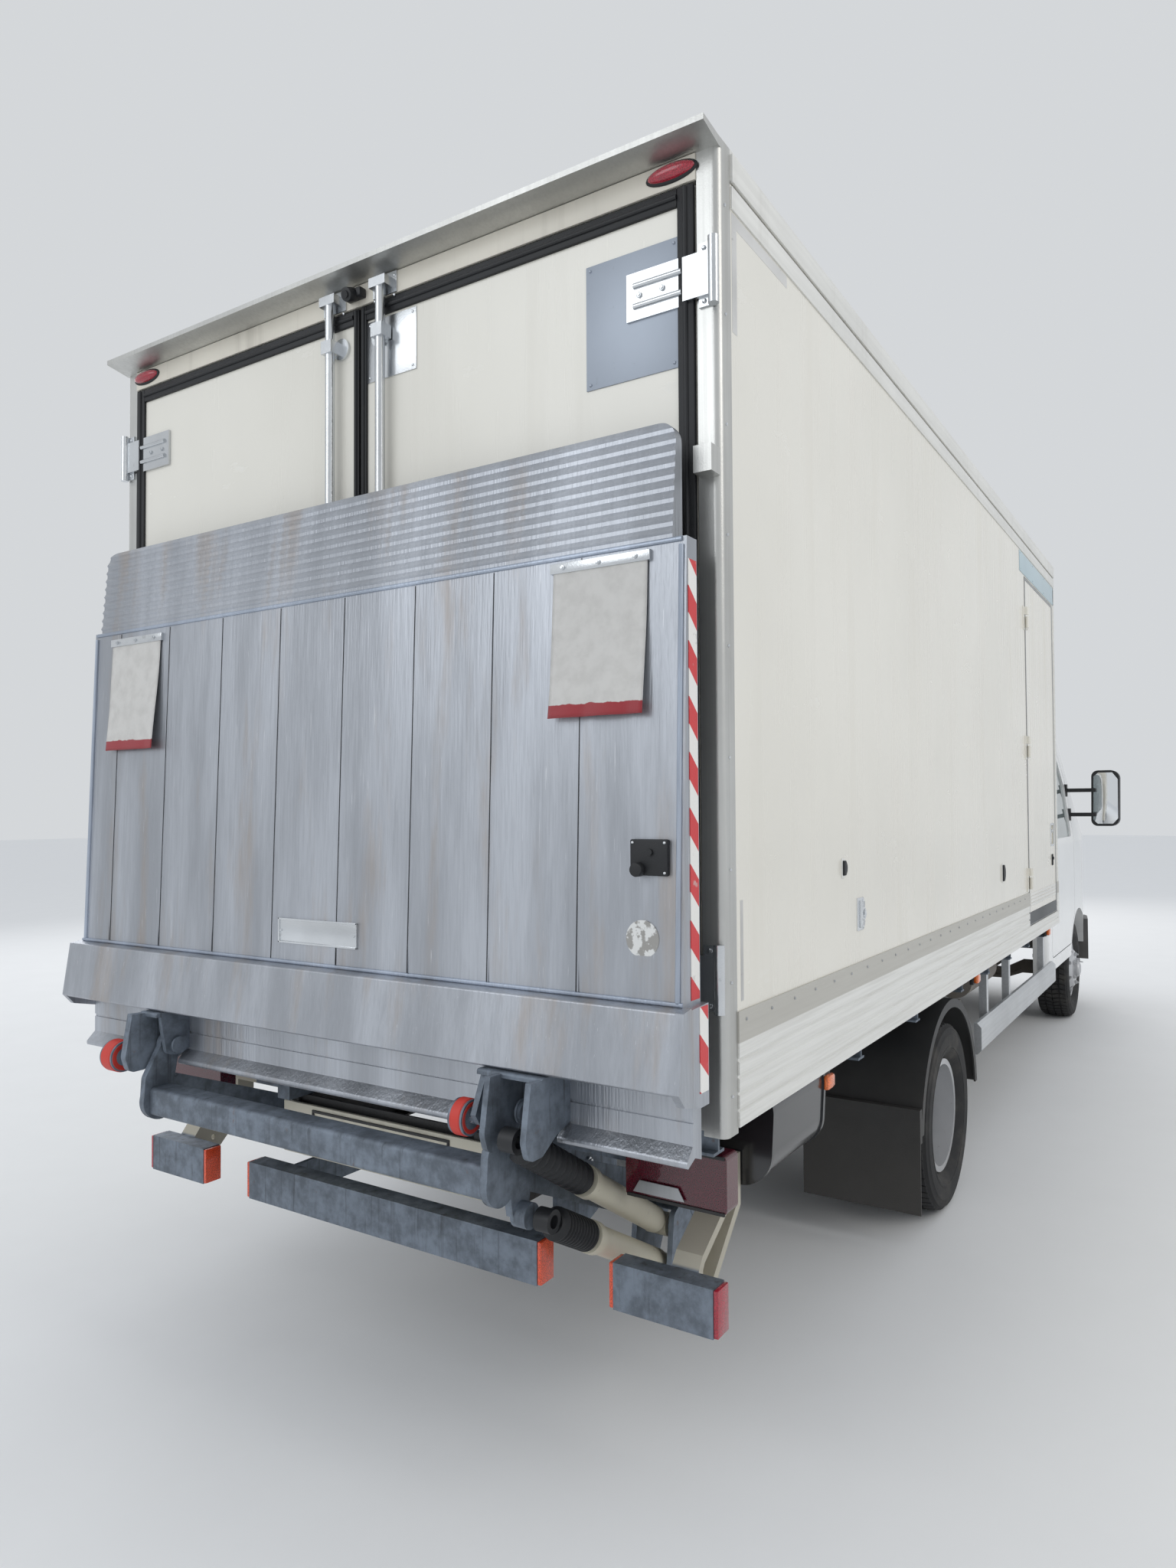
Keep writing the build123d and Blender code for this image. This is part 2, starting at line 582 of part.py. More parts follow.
def side_guards():
    left = along_x(outline([(1020, 480), (1034, 480, 4), (1052, 500, 8), (1052, 600, 8), (1034, 620, 4), (1020, 620)]),
                   2790, BOX_LENGTH + 100)
    pieces = [left, mirrored(left)]
    for x in (BEARER_X[5], BEARER_X[6], BEARER_X[8]):
        post = block(x - 20, x + 20, 985, 1020, 500, RUNNER_TOP)
        pieces = pieces + [post, mirrored(post)]
    return pieces


def mudguards():
    """Rear wheel arches with their back panels and hanging flaps."""
    y0, y1 = 562, 1062
    outer = rod_y(REAR_AXLE_X, AXLE_Z, ARCH_RADIUS, y0, y1)
    inner = rod_y(REAR_AXLE_X, AXLE_Z, ARCH_RADIUS - 8, y0 - 1, y1 + 1)
    arch = outer - inner
    arch = arch - block(REAR_AXLE_X - 600, REAR_AXLE_X + 600, y0 - 2, y1 + 2, -200, AXLE_Z + 40)
    lip = (outer - rod_y(REAR_AXLE_X, AXLE_Z, ARCH_RADIUS - 34, y0 - 1, y1 + 1)) & block(
        REAR_AXLE_X - 600, REAR_AXLE_X + 600, y1 - 7, y1, AXLE_Z + 40, 2000)
    x_back = REAR_AXLE_X - ARCH_RADIUS - 12
    panel = block(x_back - 6, x_back + 22, y0, y1, AXLE_Z + 18, AXLE_Z + 140)
    flap = block(x_back - 6, x_back, y0 + 60, y1, 130, AXLE_Z + 140)
    left = arch + lip + panel + flap
    for dx in (-360, 360):
        x = REAR_AXLE_X + dx
        top = AXLE_Z + math.sqrt(ARCH_RADIUS ** 2 - dx ** 2)
        left = left + block(x - 12, x + 12, 760, 790, top - 22, RUNNER_TOP)
    return left + mirrored(left)


def power_pack():
    """Curved cover of the lift's hydraulic pack, under the right side of the box."""
    cover = along_x(outline([(-800, 640, 20), (-1040, 640, 90), (-1052, 860, 60), (-1010, 884), (-800, 884)]),
                    PACK_REAR + 3, PACK_FRONT - 2)
    for x in (PACK_REAR, PACK_FRONT - 14):
        cover = cover + along_x(outline([(-796, 636, 22), (-1044, 636, 92), (-1056, 862, 60), (-1012, 885),
                                         (-796, 885)]), x, x + 14)
    return cover


# Wheels

def tyre(y):
    w = TYRE_WIDTH / 2
    edge = RIM_WIDTH / 2 - 8
    face = outline([(SEAT_RADIUS, -edge), (FLANGE_RADIUS + 3, -edge), (252, -w + 6), (298, -w), (340, -w + 7, 18),
                    (TYRE_RADIUS, -w + 26, 16), (TYRE_RADIUS, w - 26, 16), (340, w - 7, 18), (298, w),
                    (252, w - 6), (FLANGE_RADIUS + 3, edge), (SEAT_RADIUS, edge)])
    ring = revolve(face, axis=Axis.Y)
    for groove_y in (-48, 0, 48):
        cut = revolve(outline([(TYRE_RADIUS - 8, groove_y - 5), (TYRE_RADIUS + 1, groove_y - 5),
                               (TYRE_RADIUS + 1, groove_y + 5), (TYRE_RADIUS - 8, groove_y + 5)]), axis=Axis.Y)
        ring = ring - cut
    return Pos(0, y, 0) * ring


def rim(disc_side):
    """Wheel rim at y 0; its disc stands out towards disc_side, +1 or -1."""
    b = RIM_WIDTH / 2
    seat = SEAT_RADIUS
    profile = [(seat - 6, -b), (FLANGE_RADIUS, -b), (FLANGE_RADIUS, -b + 8), (seat, -b + 8),
               (seat, b - 8), (FLANGE_RADIUS, b - 8), (FLANGE_RADIUS, b), (seat - 6, b),
               (seat - 6, 46), (172, 78), (128, 116), (60, 116), (60, 106), (122, 106), (164, 70), (seat - 6, 36)]
    part = revolve(outline([(r, disc_side * y) for r, y in profile]), axis=Axis.Y)
    holes = 8
    for k in range(holes):
        turn = 360 / holes * (k + 0.5)
        y0, y1 = sorted((disc_side * 60, disc_side * 130))
        part = part - Rot(0, turn, 0) * rod_y(150, 0, 15, y0, y1)
    return part


def front_rim():
    """Left front wheel: rim, hub and brake disc around a blind bore for the spindle."""
    part = rim(1)
    hub_in = KINGPIN_Y + 70 - FRONT_TRACK / 2
    part = part + rod_y(0, 0, 62, hub_in, 140)
    part = part + rod_y(0, 0, 88, 92, 108)
    part = part + rod_y(0, 0, 150, hub_in, hub_in + 26)
    part = part - rod_y(0, 0, SPINDLE_RADIUS + RUNNING_FIT, hub_in - 1, KINGPIN_Y + 237 - FRONT_TRACK / 2)
    return Pos(FRONT_AXLE_X, FRONT_TRACK / 2, AXLE_Z) * part


def rear_rims():
    """Left twin rims with their shared hub and drum around a blind bore for the axle end."""
    middle = TWIN_OUTER_Y - TWIN_SPACING / 2
    outer = Pos(0, TWIN_OUTER_Y, 0) * rim(-1)
    inner = Pos(0, TWIN_OUTER_Y - TWIN_SPACING, 0) * rim(1)
    hub = rod_y(0, 0, 95, middle - 30, middle + 34) + rod_y(0, 0, 70, 572, TWIN_OUTER_Y - 5)
    drum = rod_y(0, 0, 158, 572, middle - 60) + rod_y(0, 0, 120, middle - 62, middle)
    part = outer + inner + hub + drum
    part = part - rod_y(0, 0, REAR_SPINDLE_RADIUS + RUNNING_FIT, 560, TWIN_OUTER_Y - 28)
    return Pos(REAR_AXLE_X, 0, AXLE_Z) * part


# Cab

def nose_plan():
    """Front of the cab in plan, from its right side round the nose to its left side."""
    half = CAB_WIDTH / 2
    shoulder = CAB_NOSE - 680
    corner = CAB_NOSE - 160
    return [(shoulder, -half, 300), (corner, -half + 70, 200), (CAB_NOSE, -half + 260, 120),
            (CAB_NOSE, half - 260, 120), (corner, half - 70, 200), (shoulder, half, 300)]


def cab_form(inset, low=CAB_BOTTOM):
    """The cab's outer form, or the same form inset by a wall."""
    half = CAB_WIDTH / 2
    side_view = outline([(CAB_REAR, low), (CAB_REAR, CAB_TOP, 90), (CAB_REAR + 970, CAB_TOP, 160), (CAB_REAR + 1750, 1400, 40),
                         (CAB_NOSE - 150, 1200, 110), (CAB_NOSE, 960, 60), (CAB_NOSE, low)], -inset)
    crown = CAB_TOP + 10
    front_view = outline([(-half, low), (-half, 1350, 300), (-half + 115, crown, 160), (half - 115, crown, 160),
                          (half, 1350, 300), (half, low)], -inset)
    plan = outline([(CAB_REAR, -half, 60)] + nose_plan() + [(CAB_REAR, half, 60)], -inset)
    form = along_y(side_view, -half - 50, half + 50)
    form = form & along_x(front_view, CAB_REAR - 50, CAB_NOSE + 50)
    return form & along_z(plan, low - 50, CAB_TOP + 50)


def arch_cut(radius, y0, y1):
    left = rod_y(FRONT_AXLE_X, AXLE_Z, radius, y0, y1)
    return left + mirrored(left)


def cab_door_outline(grow):
    """Door outline in side view, grown or shrunk all round."""
    pillar = 1754
    return outline([(CAB_DOOR_REAR, CAB_DOOR_LOW, 50), (CAB_DOOR_REAR, CAB_DOOR_HIGH, 70),
                    (CAB_DOOR_FRONT - 347, CAB_DOOR_HIGH, 60), (CAB_DOOR_FRONT, pillar, 50), (CAB_DOOR_FRONT, CAB_DOOR_LOW, 0)], grow)


def cab_window_outline():
    rear = CAB_DOOR_REAR + 100
    front = CAB_DOOR_FRONT - 100
    return outline([(rear, 1380, 45), (rear, 2070, 60), (front - 290, 2070, 50), (front, 1740, 50), (front, 1380, 45)])


def windscreen_outline():
    return outline([(-895, 1450, 70), (-790, 2195, 90), (790, 2195, 90), (895, 1450, 70)])


def bonnet_region(grow):
    return along_y(outline([(BONNET_REAR - grow, BONNET_LOW - grow), (BONNET_REAR - grow, 1600),
                            (CAB_NOSE + 60, 1600), (CAB_NOSE + 60, BONNET_LOW - grow)]),
                   -BONNET_HALF - grow, BONNET_HALF + grow)


def headlamp_region():
    left = block(CAB_NOSE - 350, CAB_NOSE + 40, LAMP_INNER, CAB_WIDTH / 2, LAMP_LOW, LAMP_HIGH)
    return left + mirrored(left)


def across_windscreen(face):
    """Front view outline (y, z) carried through the slope of the windscreen."""
    return along_x(face, CAB_REAR + 860, CAB_REAR + 2060)


def beside_doors(y0, y1, z0, z1):
    """Block as long as the cab doors and their frames."""
    return block(CAB_DOOR_REAR - 200, CAB_DOOR_FRONT + 160, y0, y1, z0, z1)


def doorways():
    """Room of both cab doors, with the sills left below the floor's top."""
    half = CAB_WIDTH / 2
    sill = half - CAB_DOOR_WALL - 14
    arch = rod_y(FRONT_AXLE_X, AXLE_Z, ARCH_RADIUS + 24, -half - 80, half + 80)
    room = along_y(cab_door_outline(0), -half - 60, half + 60) - arch
    return room - beside_doors(-sill, sill, 0, CAB_FLOOR_TOP) - beside_doors(-700, 700, 0, 3000)


def outer_skin():
    """Cab skin with its doorways, windscreen, bonnet, lamp, grille and bumper openings."""
    half = CAB_WIDTH / 2
    skin = cab_form(0) - cab_form(CAB_WALL, CAB_BOTTOM - 200)
    skin = skin - arch_cut(ARCH_RADIUS, 515, half + 60)
    skin = skin - block(CAB_REAR - 1, CAB_REAR + 90, -half + 90, half - 90, CAB_BOTTOM - 1, CAB_FLOOR_LOW - 20)
    skin = skin - doorways()
    skin = skin - across_windscreen(windscreen_outline())
    skin = skin - bonnet_region(CAB_DOOR_GAP)
    skin = skin - headlamp_region()
    skin = skin - block(CAB_NOSE - 500, CAB_NOSE + 80, -half - 60, half + 60, CAB_BOTTOM - 20, BUMPER_HIGH)
    return skin - block(CAB_NOSE - 160, CAB_NOSE + 60, -GRILLE_HALF, GRILLE_HALF, BUMPER_HIGH - 1, GRILLE_HIGH)


def wing_region():
    """Everything of the cab skin ahead of the doors and below the windscreen."""
    half = CAB_WIDTH / 2
    return block(CAB_DOOR_FRONT + 2, CAB_NOSE + 60, -half - 60, half + 60, CAB_BOTTOM - 40, WING_TOP)


def cab_shell():
    """Roof, rear wall, pillars, sills and windscreen frame."""
    return outer_skin() - wing_region()


def front_wings():
    """Left and right wing, each with its wheel arch liner and half of the front panel."""
    half = CAB_WIDTH / 2
    skin = outer_skin() & wing_region()
    liner = arch_cut(ARCH_RADIUS + 12, 503, half - CAB_WALL + 2) - arch_cut(ARCH_RADIUS, 515, half + 60)
    liner = liner & block(FRONT_AXLE_X - ARCH_RADIUS - 40, FRONT_AXLE_X + ARCH_RADIUS + 40, -half, half,
                          CAB_BOTTOM + 40, AXLE_Z + ARCH_RADIUS + 40)
    liner = liner & cab_form(CAB_WALL - 2, CAB_BOTTOM - 200)
    floor_room = block(CAB_REAR, FIREWALL_X + FIREWALL_SHEET + 1, -half, half, CAB_FLOOR_LOW - 1, CAB_FLOOR_TOP + 1)
    wings = skin + (liner - floor_room - block(CAB_REAR, CAB_DOOR_FRONT + 2, -half, half, 0, 2000))
    left = wings & block(CAB_DOOR_REAR, CAB_NOSE + 60, 0, half + 60, 0, 2000)
    return [left, mirrored(left)]


def cab_floor():
    """Floor, bulkhead and scuttle, with the raised cover over the gearbox and the engine."""
    half = CAB_WIDTH / 2
    room = cab_form(CAB_WALL, CAB_BOTTOM - 200)
    front = FIREWALL_X + FIREWALL_SHEET
    floor = block(CAB_REAR, front, -half, half, CAB_FLOOR_LOW, CAB_FLOOR_TOP)
    bulkhead = block(FIREWALL_X, front, -half, half, CAB_FLOOR_LOW, SCUTTLE_LOW + 1)
    scuttle = block(FIREWALL_X, BONNET_REAR - 30, -half, half, SCUTTLE_LOW, SCUTTLE_TOP)
    shell = ((floor + bulkhead + scuttle) & room) - doorways()
    shell = shell - arch_cut(ARCH_RADIUS + 12, 503, half + 60)
    tunnel_rear = CAB_REAR + 520
    tunnel = block(tunnel_rear, ENGINE_COVER_REAR + 5, -TUNNEL_HALF, TUNNEL_HALF, CAB_FLOOR_LOW, TUNNEL_TOP)
    cover = block(ENGINE_COVER_REAR, FIREWALL_X + 5, -ENGINE_COVER_HALF, ENGINE_COVER_HALF, CAB_FLOOR_LOW,
                  ENGINE_COVER_TOP)
    room_half = TUNNEL_HALF - COVER_SHEET
    gearbox_room = block(tunnel_rear + COVER_SHEET, ENGINE_COVER_REAR + 40, -room_half, room_half, CAB_FLOOR_LOW - 1,
                         TUNNEL_TOP - COVER_SHEET)
    room_half = ENGINE_COVER_HALF - COVER_SHEET
    engine_room = block(ENGINE_COVER_REAR + COVER_SHEET, front + 1, -room_half, room_half, CAB_FLOOR_LOW - 1,
                        ENGINE_COVER_TOP - COVER_SHEET)
    return shell + tunnel + cover - gearbox_room - engine_room


def windscreen():
    return (cab_form(GLASS_SINK) - cab_form(GLASS_SINK + GLASS_SHEET)) & across_windscreen(windscreen_outline())


def bonnet():
    return (cab_form(0) - cab_form(BONNET_SHEET)) & bonnet_region(0)


def headlamps():
    lamps = (cab_form(0) - cab_form(90)) & headlamp_region()
    return lamps


def front_bumper():
    """Bumper wrapped round the nose, with the grille slats standing on it."""
    half = CAB_WIDTH / 2
    rear = CAB_NOSE - 880
    plan = [(rear, -half)] + nose_plan() + [(rear, half)]
    outer = along_z(outline(plan, BUMPER_REACH), BUMPER_LOW, BUMPER_HIGH)
    inner = along_z(outline(plan, -50), BUMPER_LOW - 1, BUMPER_HIGH + 1)
    bumper = (outer - inner) & block(rear + 100, CAB_NOSE + 100, -half - 30, half + 30, BUMPER_LOW, BUMPER_HIGH)
    bumper = bumper - rod_y(FRONT_AXLE_X, AXLE_Z, ARCH_RADIUS + 14, -half - 80, half + 80)
    bumper = bumper - block(rear, CAB_NOSE - 495, -half - 60, half + 60, BUMPER_LOW - 1, BUMPER_HIGH + 1)
    bumper = bumper - block(CAB_NOSE - 60, CAB_NOSE + 100, -420, 420, 470, 560)
    for y in (-280, 0, 280):
        bumper = bumper + block(CAB_NOSE - 30, CAB_NOSE + 10, y - 14, y + 14, 460, 570)
    for y in (-360, 360):
        bumper = bumper + block(RAIL_FRONT, CAB_NOSE - 10, y - 30, y + 30, RAIL_BOTTOM + 30, RAIL_TOP - 30)
    slat_half = GRILLE_HALF - 6
    bumper = bumper + block(CAB_NOSE - 46, CAB_NOSE - 4, -slat_half, slat_half, BUMPER_HIGH - 10, GRILLE_LOW + 6)
    post = outline([(CAB_NOSE - 46, BUMPER_HIGH), (CAB_NOSE - 30, BUMPER_HIGH), (CAB_NOSE - 30, 950),
                    (CAB_NOSE - 90, GRILLE_HIGH - 4), (CAB_NOSE - 106, GRILLE_HIGH - 4), (CAB_NOSE - 46, 950)])
    for y in (-360, 0, 360):
        bumper = bumper + along_y(post, y - 12, y + 12)
    slats = 6
    for k in range(slats):
        z = GRILLE_LOW + 18 + k * 46
        x = CAB_NOSE - 4 - max(0, z + 12 - 960) * 0.62
        slat = outline([(x - 32, z), (x, z + 4), (x, z + 22), (x - 32, z + 16)])
        bumper = bumper + along_y(slat, -slat_half, slat_half)
    return bumper


def dashboard():
    half = 890
    x = FIREWALL_X
    profile = outline([(x - 310, 1130, 30), (x - 340, 1260, 40), (x - 220, 1350, 40), (x, 1350), (x, 1155),
                       (x - 220, 1155, 20)])
    board = along_y(profile, -half, half)
    binnacle = along_y(outline([(x - 310, 1300), (x - 330, 1400, 25), (x - 140, 1395, 40), (x - 120, 1330)]),
                       WHEEL_Y - 190, WHEEL_Y + 190)
    board = board + binnacle
    w = WHEEL_X
    shroud = along_y(outline([(w + 50, 1258), (w + 82, 1280), (w + 175, 1300), (w + 185, 1180), (w + 118, 1128),
                              (w + 90, 1118)]), WHEEL_Y - 40, WHEEL_Y + 40)
    board = board + shroud + steering_place() * Pos(0, 0, -130) * Cylinder(24, 256)
    board = board + steering_place() * Pos(0, 0, 6) * Cylinder(15, 30)
    return board


def steering_place():
    """Steering wheel centre, with +Z up the column towards the driver."""
    return Pos(WHEEL_X, WHEEL_Y, WHEEL_Z) * Rot(0, COLUMN_LEAN, 0)


def steering_wheel():
    wheel = Pos(0, 0, 20) * Torus(205, 15)
    hub = Pos(0, 0, 14) * Cylinder(42, 28)
    for turn in (90, 210, 330):
        spoke = Rot(0, 0, turn) * Pos(115, 0, 17) * Box(170, 32, 12)
        wheel = wheel + spoke
    wheel = wheel + hub
    wheel = wheel - Pos(0, 0, 10) * Cylinder(15 + RUNNING_FIT, 24)
    return steering_place() * wheel


def cab_seat(y_mid, half_width, base_y):
    x = SEAT_REAR
    base = block(x + 50, x + 470, base_y[0], base_y[1], CAB_FLOOR_TOP, 1030)
    cushion = along_y(outline([(x, 1030), (x + 530, 1030, 30), (x + 530, 1150, 50), (x, 1110, 30)]),
                      y_mid - half_width, y_mid + half_width)
    back = along_y(outline([(x - 30, 1080, 30), (x + 90, 1080, 20), (x - 40, 1740, 50), (x - 150, 1740, 30)]),
                   y_mid - half_width + 10, y_mid + half_width - 10)
    seat = base + cushion + back
    for k in (-1, 1) if half_width > 300 else (0,):
        y = y_mid + k * half_width / 2
        rest = along_y(outline([(x - 150, 1750, 20), (x - 70, 1750, 20), (x - 90, 1920, 30), (x - 165, 1920, 20)]),
                       y - 125, y + 125)
        post = block(x - 125, x - 105, y - 60, y + 60, 1720, 1760)
        seat = seat + rest + post
    return seat


def cab_seats():
    return cab_seat(WHEEL_Y, 260, (240, 620)) + cab_seat(-370, 450, (-760, -240))


def cab_door(side):
    """Hollow-edged door: outer skin, smaller inner panel, window cut through both."""
    half = CAB_WIDTH / 2
    gap = CAB_DOOR_GAP
    side_cut = beside_doors(700, half + 60, 0, 3000)
    arch = rod_y(FRONT_AXLE_X, AXLE_Z, ARCH_RADIUS + 24 + gap, 0, half + 80)
    skin = (cab_form(0) - cab_form(CAB_DOOR_SKIN)) & along_y(cab_door_outline(-gap), 600, half + 40)
    core = cab_form(CAB_DOOR_SKIN - 0.5) - cab_form(CAB_DOOR_WALL)
    core = core & along_y(cab_door_outline(-gap - 24), 600, half + 40)
    door = (skin + core) & side_cut
    door = door - arch
    door = door - beside_doors(600, half - CAB_DOOR_WALL - 12, 0, CAB_FLOOR_TOP + 10)
    door = door - along_y(cab_window_outline(), 500, half + 60)
    handle = block(CAB_DOOR_REAR + 100, CAB_DOOR_REAR + 250, half - 20, half + 14, 1250, 1285)
    door = door + handle
    return door if side > 0 else mirrored(door)


def door_glass(side):
    pane = (cab_form(GLASS_SINK) - cab_form(GLASS_SINK + GLASS_SHEET)) & along_y(cab_window_outline(), 600, 1100)
    return pane if side > 0 else mirrored(pane)


def door_mirror(side):
    """Mirror head on two arms from the front of the door."""
    head = along_x(outline([(MIRROR_Y - 92, MIRROR_Z - 205, 45), (MIRROR_Y + 92, MIRROR_Z - 205, 55),
                            (MIRROR_Y + 98, MIRROR_Z + 205, 60), (MIRROR_Y - 86, MIRROR_Z + 205, 45)]),
                   MIRROR_X - 40, MIRROR_X + 55)
    part = head
    for z in (MIRROR_Z - 120, MIRROR_Z + 60):
        foot = CAB_WIDTH / 2 - max(0, z - 1350) * 115 / 940 - 4
        part = part + block(MIRROR_X - 66, MIRROR_X - 20, foot - 4, foot + 16, z - 45, z + 45)
        part = part + block(MIRROR_X - 58, MIRROR_X - 30, foot, MIRROR_Y - 60, z - 14, z + 14)
    part = part - cab_form(0)
    return part if side > 0 else mirrored(part)


# Tail lift

def lift_frame():
    """Hanger plates, arm shaft, cylinder lugs, outriggers and the underrun bars."""
    shaft_x, shaft_z = ARM_PIVOT
    plate_y = RAIL_OUTER_Y
    frame = rod_y(shaft_x, shaft_z, ARM_SHAFT_RADIUS, -772, 655)
    plate = along_y(outline([(300, 700), (620, 700), (620, 520, 30), (560, 440, 40), (440, 400, 40), (300, 400, 20)]),
                    plate_y, plate_y + 14)
    frame = frame + plate + mirrored(plate)
    for y0, y1 in ((-660, -645), (-770, -755)):
        lug = along_y(outline([(350, 330, 30), (470, 310, 30), (560, 480, 30), (560, 560, 30), (480, 570, 30),
                               (375, 520, 25)]), y0, y1)
        frame = frame + lug
    for x, z in (LIFT_PIVOT, TILT_FRAME_EYE):
        frame = frame + rod_y(x, z, CYLINDER_PIN_RADIUS, -770, -645)
    outrigger = block(300, 366, plate_y, 960, 664, 722)
    frame = frame + outrigger + mirrored(outrigger)
    for side in (-1, 1):
        bracket = along_y(outline([(126, 420), (126, 510), (150, 540), (300, 629), (300, 722), (366, 722), (366, 590),
                                   (190, 420)]), 895, 965)
        hollow = along_y(outline([(150, 444), (150, 505), (160, 520), (320, 615), (320, 722), (346, 722),
                                  (346, 602), (180, 444)]), 903, 966)
        bracket = bracket - hollow
        for x, z in ((200, 492), (262, 528), (324, 564)):
            bracket = bracket - rod_y(x, z, 9, 890, 910)
        bar = block(66, 126, 768, 1031, 399, 510) - block(70, 122, 772, 1027, 403, 506)
        piece = bracket + bar
        frame = frame + (piece if side > 0 else mirrored(piece))
        arm = block(124, 305, plate_y, plate_y + 14, 415, 495)
        frame = frame + (arm if side > 0 else mirrored(arm))
    frame = frame + (block(66, 126, -545, 545, 399, 510) - block(70, 122, -541, 541, 403, 506))
    return frame


def lift_arms():
    """Two cranked arms joined by the cross tube, bored for the shaft and the platform pins."""
    a = ARM_PIVOT
    p = PLATFORM_PIN
    t = CROSS_TUBE
    pieces = []
    for side in (-1, 1):
        y0, y1 = sorted((side * (ARM_Y - ARM_PLATE / 2), side * (ARM_Y + ARM_PLATE / 2)))
        eye = rod_y(a[0], a[1], 72, y0 - 8, y1 + 8)
        blade = along_y(outline([(a[0] - 20, a[1] + 66), (t[0] + 60, t[1] + 60), (t[0] - 10, t[1] + 30),
                                 (t[0] + 10, t[1] - 52), (t[0] + 70, t[1] - 40), (a[0] - 30, a[1] - 62)]), y0, y1)
        end_plate = rod_y(t[0], t[1], 58, y0, y1)
        neck = along_y(outline([(t[0] - 56, t[1] + 10), (t[0] - 52, t[1] + 70, 30), (p[0] - 33, p[1]),
                                (p[0] + 33, p[1]), (t[0] + 42, t[1] + 52, 30), (t[0] + 56, t[1] + 10)]), y0, y1)
        tip = rod_y(p[0], p[1], 34, y0, y1)
        pieces = pieces + [eye + blade + end_plate + neck + tip]
    s = 39
    tube = outline([(t[0] - s, t[1] - s, 12), (t[0] + s, t[1] - s, 12), (t[0] + s, t[1] + s, 12),
                    (t[0] - s, t[1] + s, 12)])
    wall = outline([(t[0] - s + 7, t[1] - s + 7), (t[0] + s - 7, t[1] - s + 7), (t[0] + s - 7, t[1] + s - 7),
                    (t[0] - s + 7, t[1] + s - 7)])
    span = ARM_Y - ARM_PLATE / 2
    pieces = pieces + [along_y(tube, -span, span) - along_y(wall, -span + 5, span - 5)]
    arms = joined(pieces)
    arms = arms + rod_y(LIFT_EYE[0], LIFT_EYE[1], 30, -ARM_Y - 40, -ARM_Y)
    arms = arms + along_y(outline([(LIFT_EYE[0] - 30, LIFT_EYE[1]), (LIFT_EYE[0] + 30, LIFT_EYE[1]),
                                   (t[0] + 110, t[1] - 20), (t[0] + 20, t[1])]),
                          -ARM_Y - ARM_PLATE / 2, -ARM_Y + ARM_PLATE / 2)
    arms = arms - rod_y(a[0], a[1], ARM_SHAFT_RADIUS + RUNNING_FIT, -700, 700)
    arms = arms - rod_y(p[0], p[1], PLATFORM_PIN_RADIUS + RUNNING_FIT, -700, 700)
    return arms


def arm_pins():
    """Two steel pins through the arm tips and the platform cheeks."""
    p = PLATFORM_PIN
    pins = []
    for y0, y1 in ((-672, -580), (580, 680)):
        pins = pins + [rod_y(p[0], p[1], PLATFORM_PIN_RADIUS, y0, y1)]
        pins = pins + [rod_y(p[0], p[1], 24, y0 - 8, y0)]
        pins = pins + [rod_y(p[0], p[1], 24, y1, y1 + 8)]
    return joined(pins)


